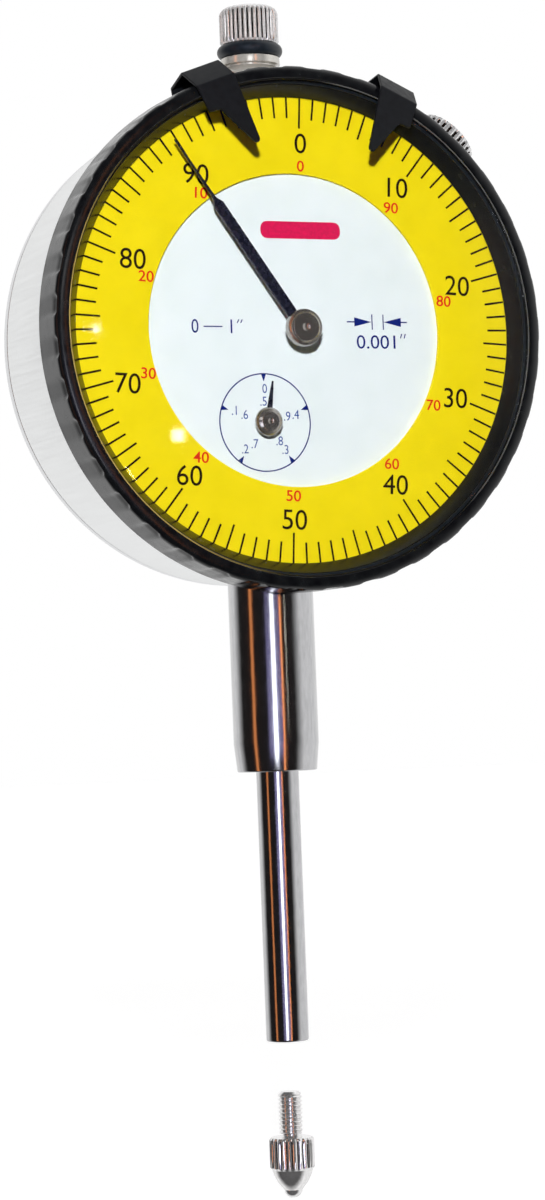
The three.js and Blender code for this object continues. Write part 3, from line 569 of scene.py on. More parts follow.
# a sleeve in the case, a flange that ends in a cone, a neck, and the collar under the rubber ring
piece("top_bushing", column_turned([
    (RUNNING_R, 24.4), (COLLAR_R, 24.4), (COLLAR_R, 27.05), (4.3, 27.05, 0.1), (4.3, 29.9, 0.25),
    (3.05, 30.75, 0.1), (2.75, 30.8), (2.75, 30.98), (3.35, 31.03, 0.06), (3.32, COLLAR_TOP, 0.08),
    (RUNNING_R, COLLAR_TOP, 0.05),
]), "collar_chrome", "case", ["upper_bushing"], place=COLUMN)


def wave(count, angle):
    """0 on a ridge and 1 in a groove, count times a turn."""
    return 0.5 - 0.5 * math.cos(count * angle)


def fade(value, low, high):
    """0 below low, 1 above high, smooth between."""
    t = min(max((value - low) / (high - low), 0), 1)
    return t * t * (3 - 2 * t)


KNOB_KNURLS, KNOB_KNURL_DEPTH = 36, 0.24
CONTACT_KNURLS, CONTACT_KNURL_DEPTH = 24, 0.16
CLAMP_KNURLS, CLAMP_KNURL_DEPTH = 28, 0.22


def knob_ripple(r, h, angle):
    on_side = fade(h, KNOB_BOTTOM, KNOB_BOTTOM + 0.35) * (1 - fade(h, KNOB_TOP - 0.75, KNOB_TOP - 0.2))
    return -KNOB_KNURL_DEPTH * on_side * wave(KNOB_KNURLS, angle) ** 2 if r > 2.6 else 0


def side_steps(r, low, high, count):
    """A straight side as several points, so that a ripple can fade along it."""
    return [(r, low + (high - low) * i / count) for i in range(count + 1)]


# the faces of the knob's knurls that get painted shade
def in_knob_groove(point):
    return KNOB_BOTTOM + 0.2 < point.z < KNOB_TOP - 0.7 and 3 < math.hypot(point.x, point.y) < 3.17


piece("knob", column_turned([
    (0, KNOB_TOP), (2.3, KNOB_TOP - 0.04), (2.75, KNOB_TOP - 0.14), (3.05, KNOB_TOP - 0.35),
    (3.22, KNOB_TOP - 0.6), *reversed(side_steps(3.31, KNOB_BOTTOM + 0.25, KNOB_TOP - 0.85, 6)),
    (3.12, KNOB_BOTTOM), (NOSE_R + SLIP, KNOB_BOTTOM), (NOSE_R + SLIP, NOSE_TOP + 0.2),
    (0, NOSE_TOP + 0.2),
], KNOB_KNURLS * 12, knob_ripple), "knurled_chrome", "plunger", ["lifting_knob"],
      place=COLUMN, groove=in_knob_groove)


def ring_profile(inner, outer_centre, low, high, steps=16):
    """The section of a moulded ring: flat inside, half round outside."""
    half, centre = (high - low) / 2, (high + low) / 2
    arc = [(outer_centre + half * math.cos(a), centre + half * math.sin(a))
           for a in (math.radians(-90 + 180 * i / steps) for i in range(steps + 1))]
    return [(inner, centre - half * 0.75), *arc, (inner, centre + half * 0.75)]


CLOSE_GAP = 0.02
piece("bumper", column_turned(ring_profile(RUNNING_R, 2.9, COLLAR_TOP + CLOSE_GAP, KNOB_BOTTOM - CLOSE_GAP)),
      "rubber", "plunger", ["bumper_ring"], place=COLUMN)

piece("spindle_rod", column_turned([
    (0, TAPPED_TOP), (TAPPED_R, TAPPED_TOP), (TAPPED_R, SPINDLE_END, 0.08), (SPINDLE_R, SPINDLE_END, 0.25),
    (SPINDLE_R, KNOB_BOTTOM - CLOSE_GAP, 0.05), (NOSE_R, KNOB_BOTTOM - CLOSE_GAP), (NOSE_R, NOSE_TOP, 0.2),
    (0, NOSE_TOP),
]), "chrome", "plunger", ["spindle"], place=COLUMN)

# ---------------------------------------------------------------- contact point

STUD_TOP, SHOULDER, KNURL_END, TIP = -83.8, -88.85, -92.25, -95.6
STUD_R = 1.38
THREAD_PITCH, THREAD_DEPTH = 0.45, 0.24


def contact_ripple(r, h, angle):
    """Knurls on the wide part and a thread on the stud."""
    if r > 2.3:
        on_side = fade(h, KNURL_END - 0.05, KNURL_END + 0.2) * (1 - fade(h, SHOULDER - 0.3, SHOULDER))
        return -CONTACT_KNURL_DEPTH * on_side * wave(CONTACT_KNURLS, angle)
    if h > SHOULDER + 0.3 and r > 1:
        turn = (h / THREAD_PITCH + angle / TAU) % 1
        return -THREAD_DEPTH * abs(2 * turn - 1) * (1 - fade(h, STUD_TOP - 0.5, STUD_TOP))
    return 0


# the faces of the contact point's knurls that get painted shade
def in_contact_groove(point):
    return KNURL_END + 0.15 < point.z < SHOULDER - 0.2 and 2.2 < math.hypot(point.x, point.y) < 2.42


ball = [(0, TIP), (0.45, TIP + 0.08), (0.78, TIP + 0.3), (0.98, TIP + 0.62), (1.05, TIP + 0.95)]
nose = [(1.16, TIP + 1.05), (1.72, KNURL_END - 1.6), (2.12, KNURL_END - 0.8), (2.3, KNURL_END - 0.15, 0.1)]
knurled_side = side_steps(2.53, KNURL_END + 0.1, SHOULDER - 0.25, 6)
stud = side_steps(STUD_R, SHOULDER + 0.45, STUD_TOP - 0.3, 84)
piece("contact", column_turned([
    *ball, *nose, *knurled_side, (2.3, SHOULDER), (1.2, SHOULDER), (1.15, SHOULDER + 0.35), *stud,
    (1.0, STUD_TOP), (0, STUD_TOP),
], CONTACT_KNURLS * 8, contact_ripple), "contact_chrome", "contact", ["contact_point"],
      place=COLUMN, groove=in_contact_groove)

# ---------------------------------------------------------------- bezel and crystal

SCALLOPS = 40
BEZEL_R = 28.65
POCKET_R = 26.6
GROOVE_R = 27.15
GROOVE_FRONT, GROOVE_BACK = 1.85, 2.75
SKIRT_R, SKIRT_BACK = 27.45, 5.2
RIM_BACK = 3.0
LIP_R = 27.2
SEAT_DEPTH = -1.75
RING_FRONT = -0.12

# the depth of a scallop by its distance behind the dial's plane
SCALLOP_PROFILE = [(-2.45, 0.0), (-1.95, 0.46), (-1.1, 0.22), (0.6, 0.12), (2.7, 0.02)]


def scallop_depth(h):
    for (low, deep), (high, shallow) in zip(SCALLOP_PROFILE, SCALLOP_PROFILE[1:]):
        if low <= h <= high:
            return deep + (shallow - deep) * (h - low) / (high - low)
    return 0


def scallop_ripple(r, h, angle):
    if r < 27.9:
        return 0
    share = (angle * SCALLOPS / TAU) % 1
    notch = fade(share, 0.20, 0.34) * (1 - fade(share, 0.62, 0.76))
    return -scallop_depth(h) * notch


scalloped_side = [(BEZEL_R, 2.85 - 0.35 * i) for i in range(14)]
front_edge = [(28.65, -2.0), (28.62, -2.2), (28.53, -2.38), (28.4, -2.53), (28.22, -2.66), (28.0, -2.75),
              (27.7, -2.81), (27.4, -2.86), (27.26, -2.86), (LIP_R, -2.8)]
bezel_outline = rounded([
    (BEZEL_R - 0.12, RIM_BACK), *scalloped_side, *front_edge,
    (LIP_R, SEAT_DEPTH), (26.7, SEAT_DEPTH, 0.05), (25.5, RING_FRONT, 0.08), (POCKET_R, RING_FRONT),
    (POCKET_R, GROOVE_FRONT), (GROOVE_R, GROOVE_FRONT), (GROOVE_R, GROOVE_BACK), (POCKET_R, GROOVE_BACK),
    (POCKET_R, SKIRT_BACK), (SKIRT_R, SKIRT_BACK, 0.1), (SKIRT_R, RIM_BACK),
])
piece("bezel_rim", revolved(bezel_outline, SCALLOPS * 18, scallop_ripple),
      "bezel_black", "bezel_assembly", ["bezel"])


def dome(crown, rim, rim_r, steps=24):
    """Points of a shallow dome from its crown to its rim."""
    return [(rim_r * i / steps, crown + (rim - crown) * (i / steps) ** 2) for i in range(steps + 1)]


EDGE_R, EDGE_DEPTH, EDGE_THICKNESS_R = 27.10, -2.64, 0.07
outer_dome = dome(-4.1, -2.66, 27.1)
inner_dome = dome(-3.3, -1.95, 26.3)
piece("crystal_dome", revolved([*outer_dome, (27.12, -1.95), *reversed(inner_dome)], 160),
      "crystal", "bezel_assembly", ["crystal"])
# a thin ring at the crystal's rim that only carries the painted reflection of its edge
piece("crystal_rim_painted_reflection", revolved([
    (EDGE_R + EDGE_THICKNESS_R * math.cos(a), EDGE_DEPTH + EDGE_THICKNESS_R * math.sin(a))
    for a in (TAU * i / 10 for i in range(10))
], 256), "crystal_edge_painted_reflection", "bezel_assembly")
piece("seal", revolved(rounded([
    (27.1, -1.93, 0.03), (27.1, -1.77, 0.03), (26.78, -1.77, 0.03), (26.78, -1.93, 0.03),
]), 160), "rubber", "bezel_assembly", ["crystal_seal"])

# ---------------------------------------------------------------- dial plates and prints

PRINT = 0.012
RING_TURN = 3.17
RING_R = 26.4
RING_INNER_R = 17.2
PLATE_THICKNESS = 0.4
DISC_R = 20.4
DISC_FRONT = 0.5
DISC_HOLE_R = 0.9

piece("graduated_ring", revolved(rounded([
    (RING_R, 0), (RING_R, PLATE_THICKNESS), (RING_INNER_R, PLATE_THICKNESS, 0.05), (RING_INNER_R, 0, 0.08),
]), 256), "dial_yellow", "bezel_assembly", ["dial_ring"])

disc_outline = [circle(DISC_R), circle(DISC_HOLE_R, steps=32), circle(DISC_HOLE_R, COUNTER.x, COUNTER.z, 32)]
piece("dial_plate", flat(disc_outline, DISC_FRONT, DISC_FRONT + PLATE_THICKNESS),
      "dial_white", "case", ["dial_disc"])


def stroke(ax, az, bx, bz, width, front):
    """A printed line from one (x, z) to another."""
    along = Vector((bx - ax, bz - az)).normalized() * width / 2
    dx, dz = -along.y, along.x
    corners = [(ax + dx, az + dz), (bx + dx, bz + dz), (bx - dx, bz - dz), (ax - dx, az - dz)]
    return flat([corners], front - PRINT, front)


def lettering(text, height, x, z, front, narrow=0.86, weight=0.0, turn=0.0):
    """Printed figures of a height, centred on (x, z)."""
    curve = bpy.data.curves.new("figures", "FONT")
    curve.body = text
    curve.offset = weight
    curve.resolution_u = 6
    mesh = of_curve(curve, 0)
    lows = [min(v.co[i] for v in mesh.verts) for i in (0, 2)]
    highs = [max(v.co[i] for v in mesh.verts) for i in (0, 2)]
    scale = height / (highs[1] - lows[1])
    to_centre = Matrix.Translation((-(lows[0] + highs[0]) / 2, 0, -(lows[1] + highs[1]) / 2))
    shrink = Matrix.Diagonal((scale * narrow, 1, scale, 1))
    spin = Matrix.Rotation(math.radians(turn), 4, "Y")
    mesh.transform(Matrix.Translation((x, front - PRINT, z)) @ spin @ shrink @ to_centre)
    faces = bmesh.ops.extrude_face_region(mesh, geom=mesh.faces[:])["geom"]
    moved = [v for v in faces if isinstance(v, bmesh.types.BMVert)]
    bmesh.ops.translate(mesh, verts=moved, vec=(0, PRINT, 0))
    bmesh.ops.recalc_face_normals(mesh, faces=mesh.faces)
    return mesh


GRADUATIONS = 100
TICK_OUTER_R, TICK_INNER_R, TICK_WIDTH = 25.6, 23.29, 0.22
LONG_TICK_INNER_R = {0: 22.23, 5: 22.75}


def make_ticks():
    """The graduations; every tenth is long, and the fifth between them is half long."""
    ticks = []
    for i in range(GRADUATIONS):
        degrees = RING_TURN + i * 360 / GRADUATIONS
        inner = LONG_TICK_INNER_R.get(i % 10, TICK_INNER_R)
        ticks.append(stroke(*on_circle(TICK_OUTER_R, degrees), *on_circle(inner, degrees), TICK_WIDTH, 0))
    return merged(ticks)


def make_figures(height, places, **options):
    figures = []
    for value, degrees, r in places:
        x, z = on_circle(r, degrees)
        figures.append(lettering(str(value), height, x, z, 0, turn=RING_TURN, **options))
    return merged(figures)


# the printer set the figures by eye beside their graduations: value, degrees clockwise, radius
FIGURES = [(0, 3.7, 20.6), (10, 38.9, 20.5), (20, 75.4, 20.4), (30, 111.4, 20.4), (40, 146.7, 20.4),
           (50, 182.9, 20.8), (60, 219.7, 20.6), (70, 253.4, 20.7), (80, 291.8, 20.2), (90, 326.6, 20.2)]
REVERSE_FIGURES = [(0, 3.9, 18.1), (90, 41.1, 18.2), (80, 79.3, 18.3), (70, 116.9, 18.2),
                   (60, 143.6, 18.3), (50, 183.4, 18.2), (40, 220.2, 18.2), (30, 254.5, 18.1),
                   (20, 288, 18.2), (10, 324.4, 18.2)]
FIGURE_HEIGHT, REVERSE_FIGURE_HEIGHT, COUNTER_FIGURE_HEIGHT = 2.2, 1.22, 1.0
piece("ring_ticks", make_ticks(), "ink_dark", "bezel_assembly")
piece("ring_figures", make_figures(FIGURE_HEIGHT, FIGURES, narrow=1.0),
      "ink_dark", "bezel_assembly")
piece("ring_reverse_figures", make_figures(REVERSE_FIGURE_HEIGHT, REVERSE_FIGURES, weight=0.01, narrow=1.08),
      "ink_red", "bezel_assembly")

COUNTER_RING_R, COUNTER_LINE_HALF_WIDTH = 5.33, 0.07
COUNTER_MARKS, COUNTER_MARK_LENGTH, COUNTER_MARK_HALF_DEG = 5, 0.85, 3.2

# each label of the counter dial with its place beside the counter hand's axis
COUNTER_LABELS = [
    ("0", 0.08, 3.71), (".5", -0.12, 2.32), (".1", -3.59, 1.31), (".6", -2.40, 0.87),
    (".9", 2.61, 0.69), (".4", 3.64, 0.88), (".2", -2.48, -2.88), (".7", -1.32, -2.32),
    (".8", 1.61, -2.01), (".3", 2.25, -2.96),
]


def make_counter_scale():
    """A thin ring with five marks that point at its centre."""
    ring = [circle(COUNTER_RING_R + side * COUNTER_LINE_HALF_WIDTH, COUNTER.x, COUNTER.z) for side in (1, -1)]
    marks = [flat(ring, DISC_FRONT - PRINT, DISC_FRONT)]
    mark_points = ((COUNTER_RING_R, -COUNTER_MARK_HALF_DEG), (COUNTER_RING_R, COUNTER_MARK_HALF_DEG),
                   (COUNTER_RING_R - COUNTER_MARK_LENGTH, 0))
    for i in range(COUNTER_MARKS):
        corners = []
        for r, offset in mark_points:
            x, z = on_circle(r, i * 360 / COUNTER_MARKS + offset)
            corners.append((COUNTER.x + x, COUNTER.z + z))
        marks.append(flat([corners], DISC_FRONT - PRINT, DISC_FRONT))
    return merged(marks)


LABEL_HEIGHT = 1.5
LINE_WIDTH, SHAFT_WIDTH, INCH_MARK_WIDTH = 0.13, 0.14, 0.12
ARROW_LENGTH, ARROW_HALF_WIDTH = 2.1, 0.5


def arrow(tip_x, tail_x, z):
    """A filled head pointing at a bar, with a short shaft behind it."""
    way = 1 if tip_x > tail_x else -1
    head_x = tip_x - way * ARROW_LENGTH
    corners = [(tip_x, z), (head_x, z + ARROW_HALF_WIDTH), (head_x, z - ARROW_HALF_WIDTH)]
    head = flat([corners], DISC_FRONT - PRINT, DISC_FRONT)
    return [head, stroke(tail_x, z, head_x, z, SHAFT_WIDTH, DISC_FRONT)]


def inch_mark(x, z, lean, height, gap):
    """Two short strokes that lean to the right, from their foot at (x, z)."""
    return [stroke(x + dx, z, x + lean + dx, z + height, INCH_MARK_WIDTH, DISC_FRONT) for dx in (0, gap)]


def make_interval_mark():
    """Two arrows that close on a pair of bars, over the value of one graduation."""
    z = 1.03
    marks = [stroke(x, z - 0.85, x, z + 0.85, LINE_WIDTH, DISC_FRONT) for x in (9.35, 10.7)]
    marks += arrow(9.3, 6.3, z) + arrow(10.75, 13.6, z)
    marks.append(lettering("0.001", LABEL_HEIGHT, 9.75, -1.18, DISC_FRONT, narrow=1.10))
    marks += inch_mark(12.75, -0.75, 0.15, 0.5, 0.45)
    return merged(marks)


def make_range_mark():
    """The travel, from 0 to 1 inch."""
    marks = [lettering(text, LABEL_HEIGHT, x, 0.38, DISC_FRONT) for text, x in (("0", -11.7), ("1", -7.45))]
    marks.append(stroke(-10.7, 0.35, -8.5, 0.35, LINE_WIDTH, DISC_FRONT))
    marks += inch_mark(-6.75, 0.75, 0.2, 0.4, 0.4)
    return merged(marks)


piece("counter_scale", make_counter_scale(), "ink_navy", "case")
piece("counter_figures", merged([
    lettering(text, COUNTER_FIGURE_HEIGHT, COUNTER.x + x, COUNTER.z + z, DISC_FRONT)
    for text, x, z in COUNTER_LABELS
]), "ink_blue", "case")
piece("interval_mark", make_interval_mark(), "ink_navy", "case")
piece("range_mark", make_range_mark(), "ink_navy", "case")

BADGE_CORNERS = [(-3.6, 10.1), (5.9, 10.1), (5.9, 12.0), (-3.6, 12.0)]
BADGE_ROUNDING = 0.9
badge_outline = rounded([(*corner, BADGE_ROUNDING) for corner in BADGE_CORNERS], steps=8)
piece("badge", flat([badge_outline], DISC_FRONT - PRINT, DISC_FRONT),
      "ink_crimson", "case")

# ---------------------------------------------------------------- hands

HAND_FRONT, HAND_BACK = -1.75, -1.5
COUNTER_HAND_FRONT, COUNTER_HAND_BACK = -0.45, -0.25
HAND_BOSS_R, HAND_BORE_R = 1.2, 0.5
LONG_HAND_DEG = -34.8
COUNTER_HAND_DEG = 9


def make_hand(half_widths, low, high, bevel):
    """A blade that points up, from its half width at each height, with a round boss on its arbor."""
    right = [(half, z) for z, half in half_widths]
    left = [(-half, z) for z, half in reversed(half_widths)]
    blade = flat([right + left], low, high, bevel)
    boss = flat([circle(HAND_BOSS_R, steps=48)], low, high, bevel)
    bmesh.ops.recalc_face_normals(blade, faces=blade.faces)
    bmesh.ops.recalc_face_normals(boss, faces=boss.faces)
    bore = bar(HAND_BORE_R, low - 1, high + 1)
    return with_boolean(with_boolean(blade, boss, "UNION"), bore, "DIFFERENCE")


long_hand = make_hand([(0, 0.62), (16.2, 0.60), (16.9, 0.22), (17.4, 0.17), (24.65, 0.10)],
                      HAND_FRONT, HAND_BACK, 0.04)
long_hand.transform(Matrix.Rotation(math.radians(LONG_HAND_DEG), 4, "Y"))
piece("pointer", long_hand, "hand_dark", "centre_arbor", ["long_hand"])

short_hand = make_hand([(0, 0.42), (4.5, 0.08)], COUNTER_HAND_FRONT, COUNTER_HAND_BACK, 0.03)
short_hand.transform(Matrix.Rotation(math.radians(COUNTER_HAND_DEG), 4, "Y"))
piece("counter_pointer", short_hand, "hand_dark", "counter_arbor", ["counter_hand"], place=DIAL + COUNTER)

piece("pointer_hub", revolved(rounded([
    (0, -2.72), (0.22, -2.76), (0.45, -2.86, 0.1), (1.5, -2.86, 0.12), (1.66, -2.72, 0.05),
    (1.7, -2.62, 0.04), (1.98, -2.58, 0.1), (2.05, -2.3), (2.05, HAND_FRONT - 0.03, 0.05),
    (HAND_BORE_R, HAND_FRONT - 0.03), (HAND_BORE_R, -2.1), (0, -2.1),
]), 96), "hub_chrome", "centre_arbor", ["long_hand_hub"])
piece("counter_hub", revolved(rounded([
    (0, -1.08), (0.2, -1.1), (0.35, -1.17, 0.1), (1.0, -1.15, 0.15), (1.35, -0.98, 0.15),
    (1.55, -0.75, 0.1), (1.6, -0.5, 0.05), (HAND_BORE_R, -0.5), (HAND_BORE_R, -0.8), (0, -0.8),
]), 96), "hub_chrome", "counter_arbor", ["counter_hand_hub"], place=DIAL + COUNTER)

# ---------------------------------------------------------------- limit markers

SHEET = 0.3

# the strip from the finger's tip over the bezel to the hook behind it, as (radius, depth)
STRIP = [(20.42, -5.42), (28.27, -3.58, 0.4), (30.36, -0.95, 0.5), (29.4, 3.3, 0.4), (27.7, 4.05)]

# the two sides of the finger, as (radius, place across the strip); the strip keeps the last width
FINGER_LEFT = [(20.42, 1.15), (20.5, 0.98), (20.75, 0.85), (24.85, -0.88), (25.05, -1.05), (25.2, -2.33)]
FINGER_RIGHT = [(20.42, 1.38), (20.5, 1.55), (20.75, 1.67), (28.0, 2.33)]
MARKER_DEG = {"left": -20.4, "right": 24.9}


def along(table, value):
    """Linear reading of a short table of (place, amount), which stays at its last amount."""
    for (a, low), (b, high) in zip(table, table[1:]):
        if a <= value <= b:
            return low + (high - low) * (value - a) / (b - a)
    return table[-1][1]


def marker_rows():
    """The strip's outer line from the finger's tip to the hook, close enough for the outline."""
    line = [Vector(point) for point in rounded(STRIP, steps=6)]
    stops = sorted({r for r, _ in FINGER_LEFT + FINGER_RIGHT if line[0].x < r < 28.2})
    finger = [line[0].lerp(line[1], (r - line[0].x) / (line[1].x - line[0].x)) for r in stops]
    return [line[0], *finger, *line[1:]]


def make_marker(side):
    """A bent strip for the top of the bezel. side is 1 or -1, for the two mirrored fingers."""
    rows = marker_rows()
    slopes = [(b - a).normalized() for a, b in zip(rows, rows[1:])]
    mesh = bmesh.new()
    front, back = [], []
    for i, row in enumerate(rows):
        slope = (slopes[max(i - 1, 0)] + slopes[min(i, len(slopes) - 1)]).normalized()
        inward = Vector((-slope.y, slope.x)) * SHEET
        reading = row.x if row.y < 0 else math.inf
        for line, point in ((front, row), (back, row + inward)):
            ends = [side * along(table, reading) for table in (FINGER_LEFT, FINGER_RIGHT)]
            line.append([mesh.verts.new((x, point.y, point.x)) for x in ends])
    for line in (front, back):
        for a, b in zip(line, line[1:]):
            mesh.faces.new((a[0], a[1], b[1], b[0]))
    for a, b, c, d in zip(front, front[1:], back, back[1:]):
        mesh.faces.new((a[0], b[0], d[0], c[0]))
        mesh.faces.new((a[1], b[1], d[1], c[1]))
    for i in (0, -1):
        mesh.faces.new((front[i][0], front[i][1], back[i][1], back[i][0]))
    bmesh.ops.recalc_face_normals(mesh, faces=mesh.faces)
    return softened(mesh, 0.05, degrees=50)


for name, side in (("left", 1), ("right", -1)):
    marker = make_marker(side)
    marker.transform(Matrix.Rotation(math.radians(MARKER_DEG[name]), 4, "Y"))
    piece(f"marker_{name}_clip", marker, "black_sheet", f"marker_{name}", [f"limit_marker_{name}"],
          smooth=25)

# ---------------------------------------------------------------- bezel clamp

CLAMP_PLACE = Matrix.Translation((0, CLAMP_DEPTH, 0)) @ CLAMP_TURN
SHOE_BOTTOM, SHOE_TOP = 27.6, 28.6
SHOE_HALF_WIDTH = 2.6
SHOE_FRONT = 4.4 - CLAMP_DEPTH
SHOE_BACK = 3.4
SHOE_HOLE_R = 1.5
HEAD_LOW, HEAD_HIGH, HEAD_R = SHOE_TOP + 0.3, 33.3, 3.7


def clamp_ripple(r, h, angle):
    on_side = fade(h, HEAD_LOW + 0.35, HEAD_LOW + 0.6) * (1 - fade(h, HEAD_HIGH - 0.4, HEAD_HIGH - 0.1))
    return -CLAMP_KNURL_DEPTH * on_side * wave(CLAMP_KNURLS, angle) if r > 3.2 else 0


shoe = block((-SHOE_HALF_WIDTH, SHOE_FRONT, SHOE_BOTTOM), (SHOE_HALF_WIDTH, SHOE_BACK, SHOE_TOP))
shoe = softened(shoe, 0.15)
shoe = with_boolean(shoe, bar(SHOE_HOLE_R, 20, 30, upright=True), "DIFFERENCE")
shoe.transform(CLAMP_PLACE)
piece("clamp_pad", shoe, "steel", "clamp_shoe_body", ["clamp_shoe"])

clamp_head = revolved(rounded([
    (0, 25.6), (1, 25.6, 0.1), (1, HEAD_LOW), (HEAD_R - 0.1, HEAD_LOW, 0.1), (HEAD_R, HEAD_LOW + 0.4),
    *side_steps(HEAD_R, HEAD_LOW + 0.65, HEAD_HIGH - 0.4, 6), (HEAD_R - 0.1, HEAD_HIGH - 0.15),
    (HEAD_R - 0.4, HEAD_HIGH), (2.2, HEAD_HIGH), (2.0, HEAD_HIGH - 0.15), (0, HEAD_HIGH - 0.15),
]), CLAMP_KNURLS * 10, clamp_ripple, upright=True)
clamp_head.transform(CLAMP_PLACE)


# the faces of the clamp head's knurls that get painted shade
def in_clamp_groove(point):
    x, y, z = CLAMP_PLACE.inverted() @ point
    return HEAD_LOW + 0.5 < z < HEAD_HIGH - 0.3 and 3.3 < math.hypot(x, y) < 3.58


piece("clamp_thumbscrew", clamp_head, "knurled_chrome", "clamp_screw_body", ["clamp_screw"],
      groove=in_clamp_groove)

# ---------------------------------------------------------------- the movement's own finishes

INNER_FINISH = {
    "steel": ["guide_pin", "spring_pin", "guide_rail", "spring_post", "return_spring", "centre_pinion",
              "rack_pinion", "spring_wheel_arbor", "hairspring", "bezel_retaining_ring",
              *[f"{part}_screw_{i}" for part in ("centre", "rear", "rail") for i in (1, 2)]],
    "brass": ["dial_foot_1", "dial_foot_2", "centre_bridge", "rear_bridge", "drive_wheel", "spring_wheel",
              "hairspring_collet",
              *[f"{part}_pillar_{i}" for part in ("centre", "rear", "rail") for i in (1, 2)]],
}
for finish, nodes in INNER_FINISH.items():
    for node in nodes:
        for material_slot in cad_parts[node].material_slots:
            material_slot.material = FINISH[finish]

# ---------------------------------------------------------------- studio

CAMERA_TARGET = Vector((0, -0.5, 8.9))
CAMERA_DISTANCE = 364.3
CAMERA_AZIMUTH = -22.74
CAMERA_ELEVATION = -2.06
CAMERA_ROLL = 2.21
CAMERA_LENS = 97.8


def direction(azimuth, elevation):
    a, e = math.radians(azimuth), math.radians(elevation)
    return Vector((math.sin(a) * math.cos(e), -math.cos(a) * math.cos(e), math.sin(e)))


def make_camera():
    data = bpy.data.cameras.new("camera")
    data.lens = CAMERA_LENS
    data.clip_start = 0.01
    data.clip_end = 50
    camera = bpy.data.objects.new("camera", data)
    bpy.context.scene.collection.objects.link(camera)
    back = direction(CAMERA_AZIMUTH, CAMERA_ELEVATION)
    camera.location = (CAMERA_TARGET + back * CAMERA_DISTANCE) * MM
    camera.rotation_mode = "QUATERNION"
    roll = Quaternion((0, 0, 1), -math.radians(CAMERA_ROLL))
    camera.rotation_quaternion = (-back).to_track_quat("-Z", "Y") @ roll
    bpy.context.scene.camera = camera


def area_light(name, azimuth, elevation, distance, width, height, power, colour,
               aim=DIAL, diffuse=True, glossy=True):
    """An area light in metres and watts, aimed at a point of the object. One without diffuse is
    only seen in reflections, and one without glossy never is."""
    data = bpy.data.lights.new(name, "AREA")
    data.shape = "RECTANGLE"
    data.size, data.size_y = width, height
    data.energy = power
    data.color = colour
    light = bpy.data.objects.new(name, data)
    bpy.context.scene.collection.objects.link(light)
    back = direction(azimuth, elevation)
    light.location = Vector(aim) * MM + back * distance
    light.rotation_mode = "QUATERNION"
    light.rotation_quaternion = (-back).to_track_quat("-Z", "Y")
    light.visible_diffuse = diffuse
    light.visible_glossy = glossy


ORIGIN = (0, 0, 0)
COOL = (0.98, 0.99, 1.0)
EMBER = (1.0, 0.25, 0.12)
ORANGE = (1.0, 0.33, 0.10)
VIOLET = (0.55, 0.50, 1.0)
CREAM = (1.0, 0.95, 0.8)
WHITE = (1.0, 1.0, 1.0)


def make_lights():
    """A small flash beside the camera, the bright shapes that the chrome mirrors, and two dots that
    the crystal mirrors."""
    az = CAMERA_AZIMUTH
    area_light("key", az, 9.5, 0.45, 0.022, 0.022, 2.48, COOL, glossy=False)
    area_light("fill", az, 25, 0.9, 0.9, 0.9, 0.13, EMBER, glossy=False)
    area_light("flash_top", az + 1, 16, 0.9, 0.30, 0.16, 0.35, (0.96, 0.97, 1.0), diffuse=False)
    area_light("flash_core", az + 1, -6.5, 0.9, 0.15, 0.31, 0.75, (0.90, 0.93, 1.0), ORIGIN, diffuse=False)
    area_light("flash_glow", az + 1, -6.5, 0.95, 0.65, 0.31, 0.35, VIOLET, ORIGIN, diffuse=False)
    area_light("lamp_left", az - 58, 0, 1.2, 0.16, 1.6, 1.0, ORANGE, ORIGIN, diffuse=False)
    area_light("lamp_right", az + 23, 0, 1.2, 0.045, 1.6, 1.1, ORANGE, ORIGIN, diffuse=False)
    area_light("spot_low", 13.3, -0.7, 1.0, 0.014, 0.014, 0.012, CREAM, diffuse=False)
    area_light("spot_high", 7.6, 6.7, 1.0, 0.008, 0.008, 0.004, WHITE, diffuse=False)


DARK_HALF_TURN = 20
DUSK = 0.22


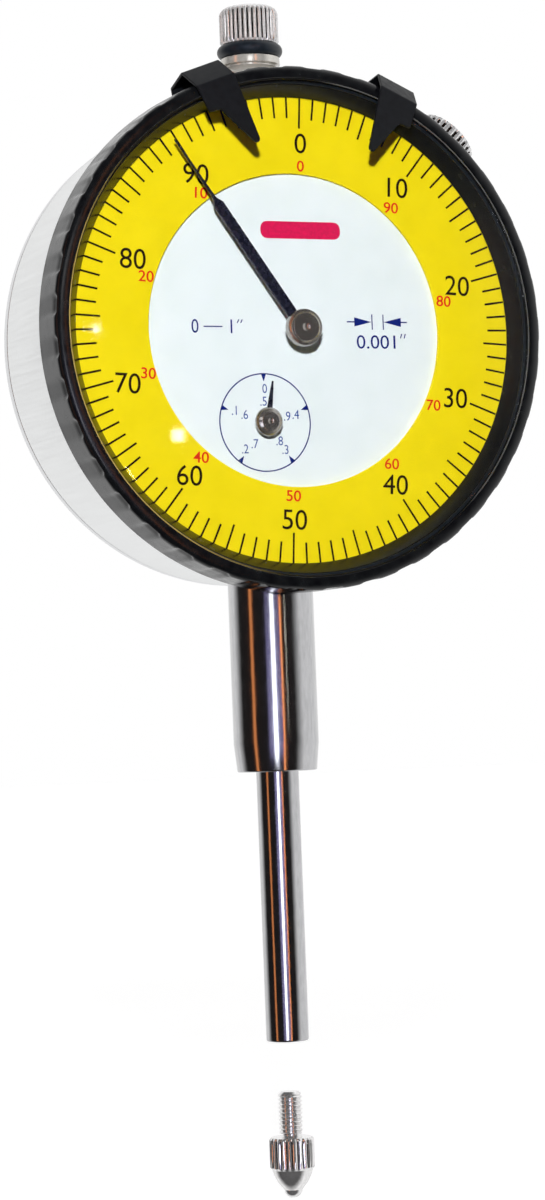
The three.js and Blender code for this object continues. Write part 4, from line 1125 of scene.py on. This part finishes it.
def make_world():
    """White all round except for the dark half of the room that the dial faces. The camera sees
    plain white, and the room lights nothing but reflections."""
    world = bpy.data.worlds.new("studio")
    bpy.context.scene.world = world
    world.use_nodes = True
    tree = world.node_tree
    background = tree.nodes["Background"]
    coordinates = tree.nodes.new("ShaderNodeTexCoord")
    towards = tree.nodes.new("ShaderNodeVectorMath")
    towards.operation = "DOT_PRODUCT"
    towards.inputs[1].default_value = direction(CAMERA_AZIMUTH - DARK_HALF_TURN, 0)
    tree.links.new(coordinates.outputs["Generated"], towards.inputs[0])
    share = tree.nodes.new("ShaderNodeMapRange")
    share.inputs["From Min"].default_value = -DUSK
    share.inputs["From Max"].default_value = DUSK
    tree.links.new(towards.outputs["Value"], share.inputs["Value"])
    room = ramp(tree, share.outputs["Result"], [(0.0, (1.0, 1.0, 1.0)), (1.0, (0.02, 0.018, 0.018))])
    tree.links.new(room, background.inputs["Color"])
    plain = tree.nodes.new("ShaderNodeBackground")
    plain.inputs["Color"].default_value = (1, 1, 1, 1)
    rays = tree.nodes.new("ShaderNodeLightPath")
    mix = tree.nodes.new("ShaderNodeMixShader")
    tree.links.new(rays.outputs["Is Camera Ray"], mix.inputs["Fac"])
    tree.links.new(background.outputs["Background"], mix.inputs[1])
    tree.links.new(plain.outputs["Background"], mix.inputs[2])
    tree.links.new(mix.outputs["Shader"], tree.nodes["World Output"].inputs["Surface"])
    world.cycles_visibility.diffuse = False


FLOOR_SIZE, FLOOR_GAP = 4, 0.03


def make_floor():
    """A pale floor that glows enough to stay white, and that nothing mirrors."""
    material, tree, shader = new_material("pale_floor")
    vector = object_coordinates(tree, (1, 1, 1))
    tone = ramp(tree, noise(tree, vector, 3), [(0.3, (0.90, 0.90, 0.90)), (0.7, (0.93, 0.93, 0.93))])
    tree.links.new(tone, shader.inputs["Base Color"])
    shader.inputs["Roughness"].default_value = 0.9
    tree.links.new(tone, shader.inputs["Emission Color"])
    shader.inputs["Emission Strength"].default_value = 1.0
    mesh = bmesh.new()
    bmesh.ops.create_grid(mesh, x_segments=2, y_segments=2, size=FLOOR_SIZE)
    mesh.transform(Matrix.Translation((0, 0, cad_low.z - FLOOR_GAP)))
    data = bpy.data.meshes.new("floor")
    mesh.to_mesh(data)
    mesh.free()
    data.materials.append(material)
    floor = bpy.data.objects.new("floor", data)
    bpy.context.scene.collection.objects.link(floor)
    floor.visible_glossy = False
    floor.visible_diffuse = False


make_camera()
make_lights()
make_world()
make_floor()
bpy.context.scene.view_settings.view_transform = "Standard"
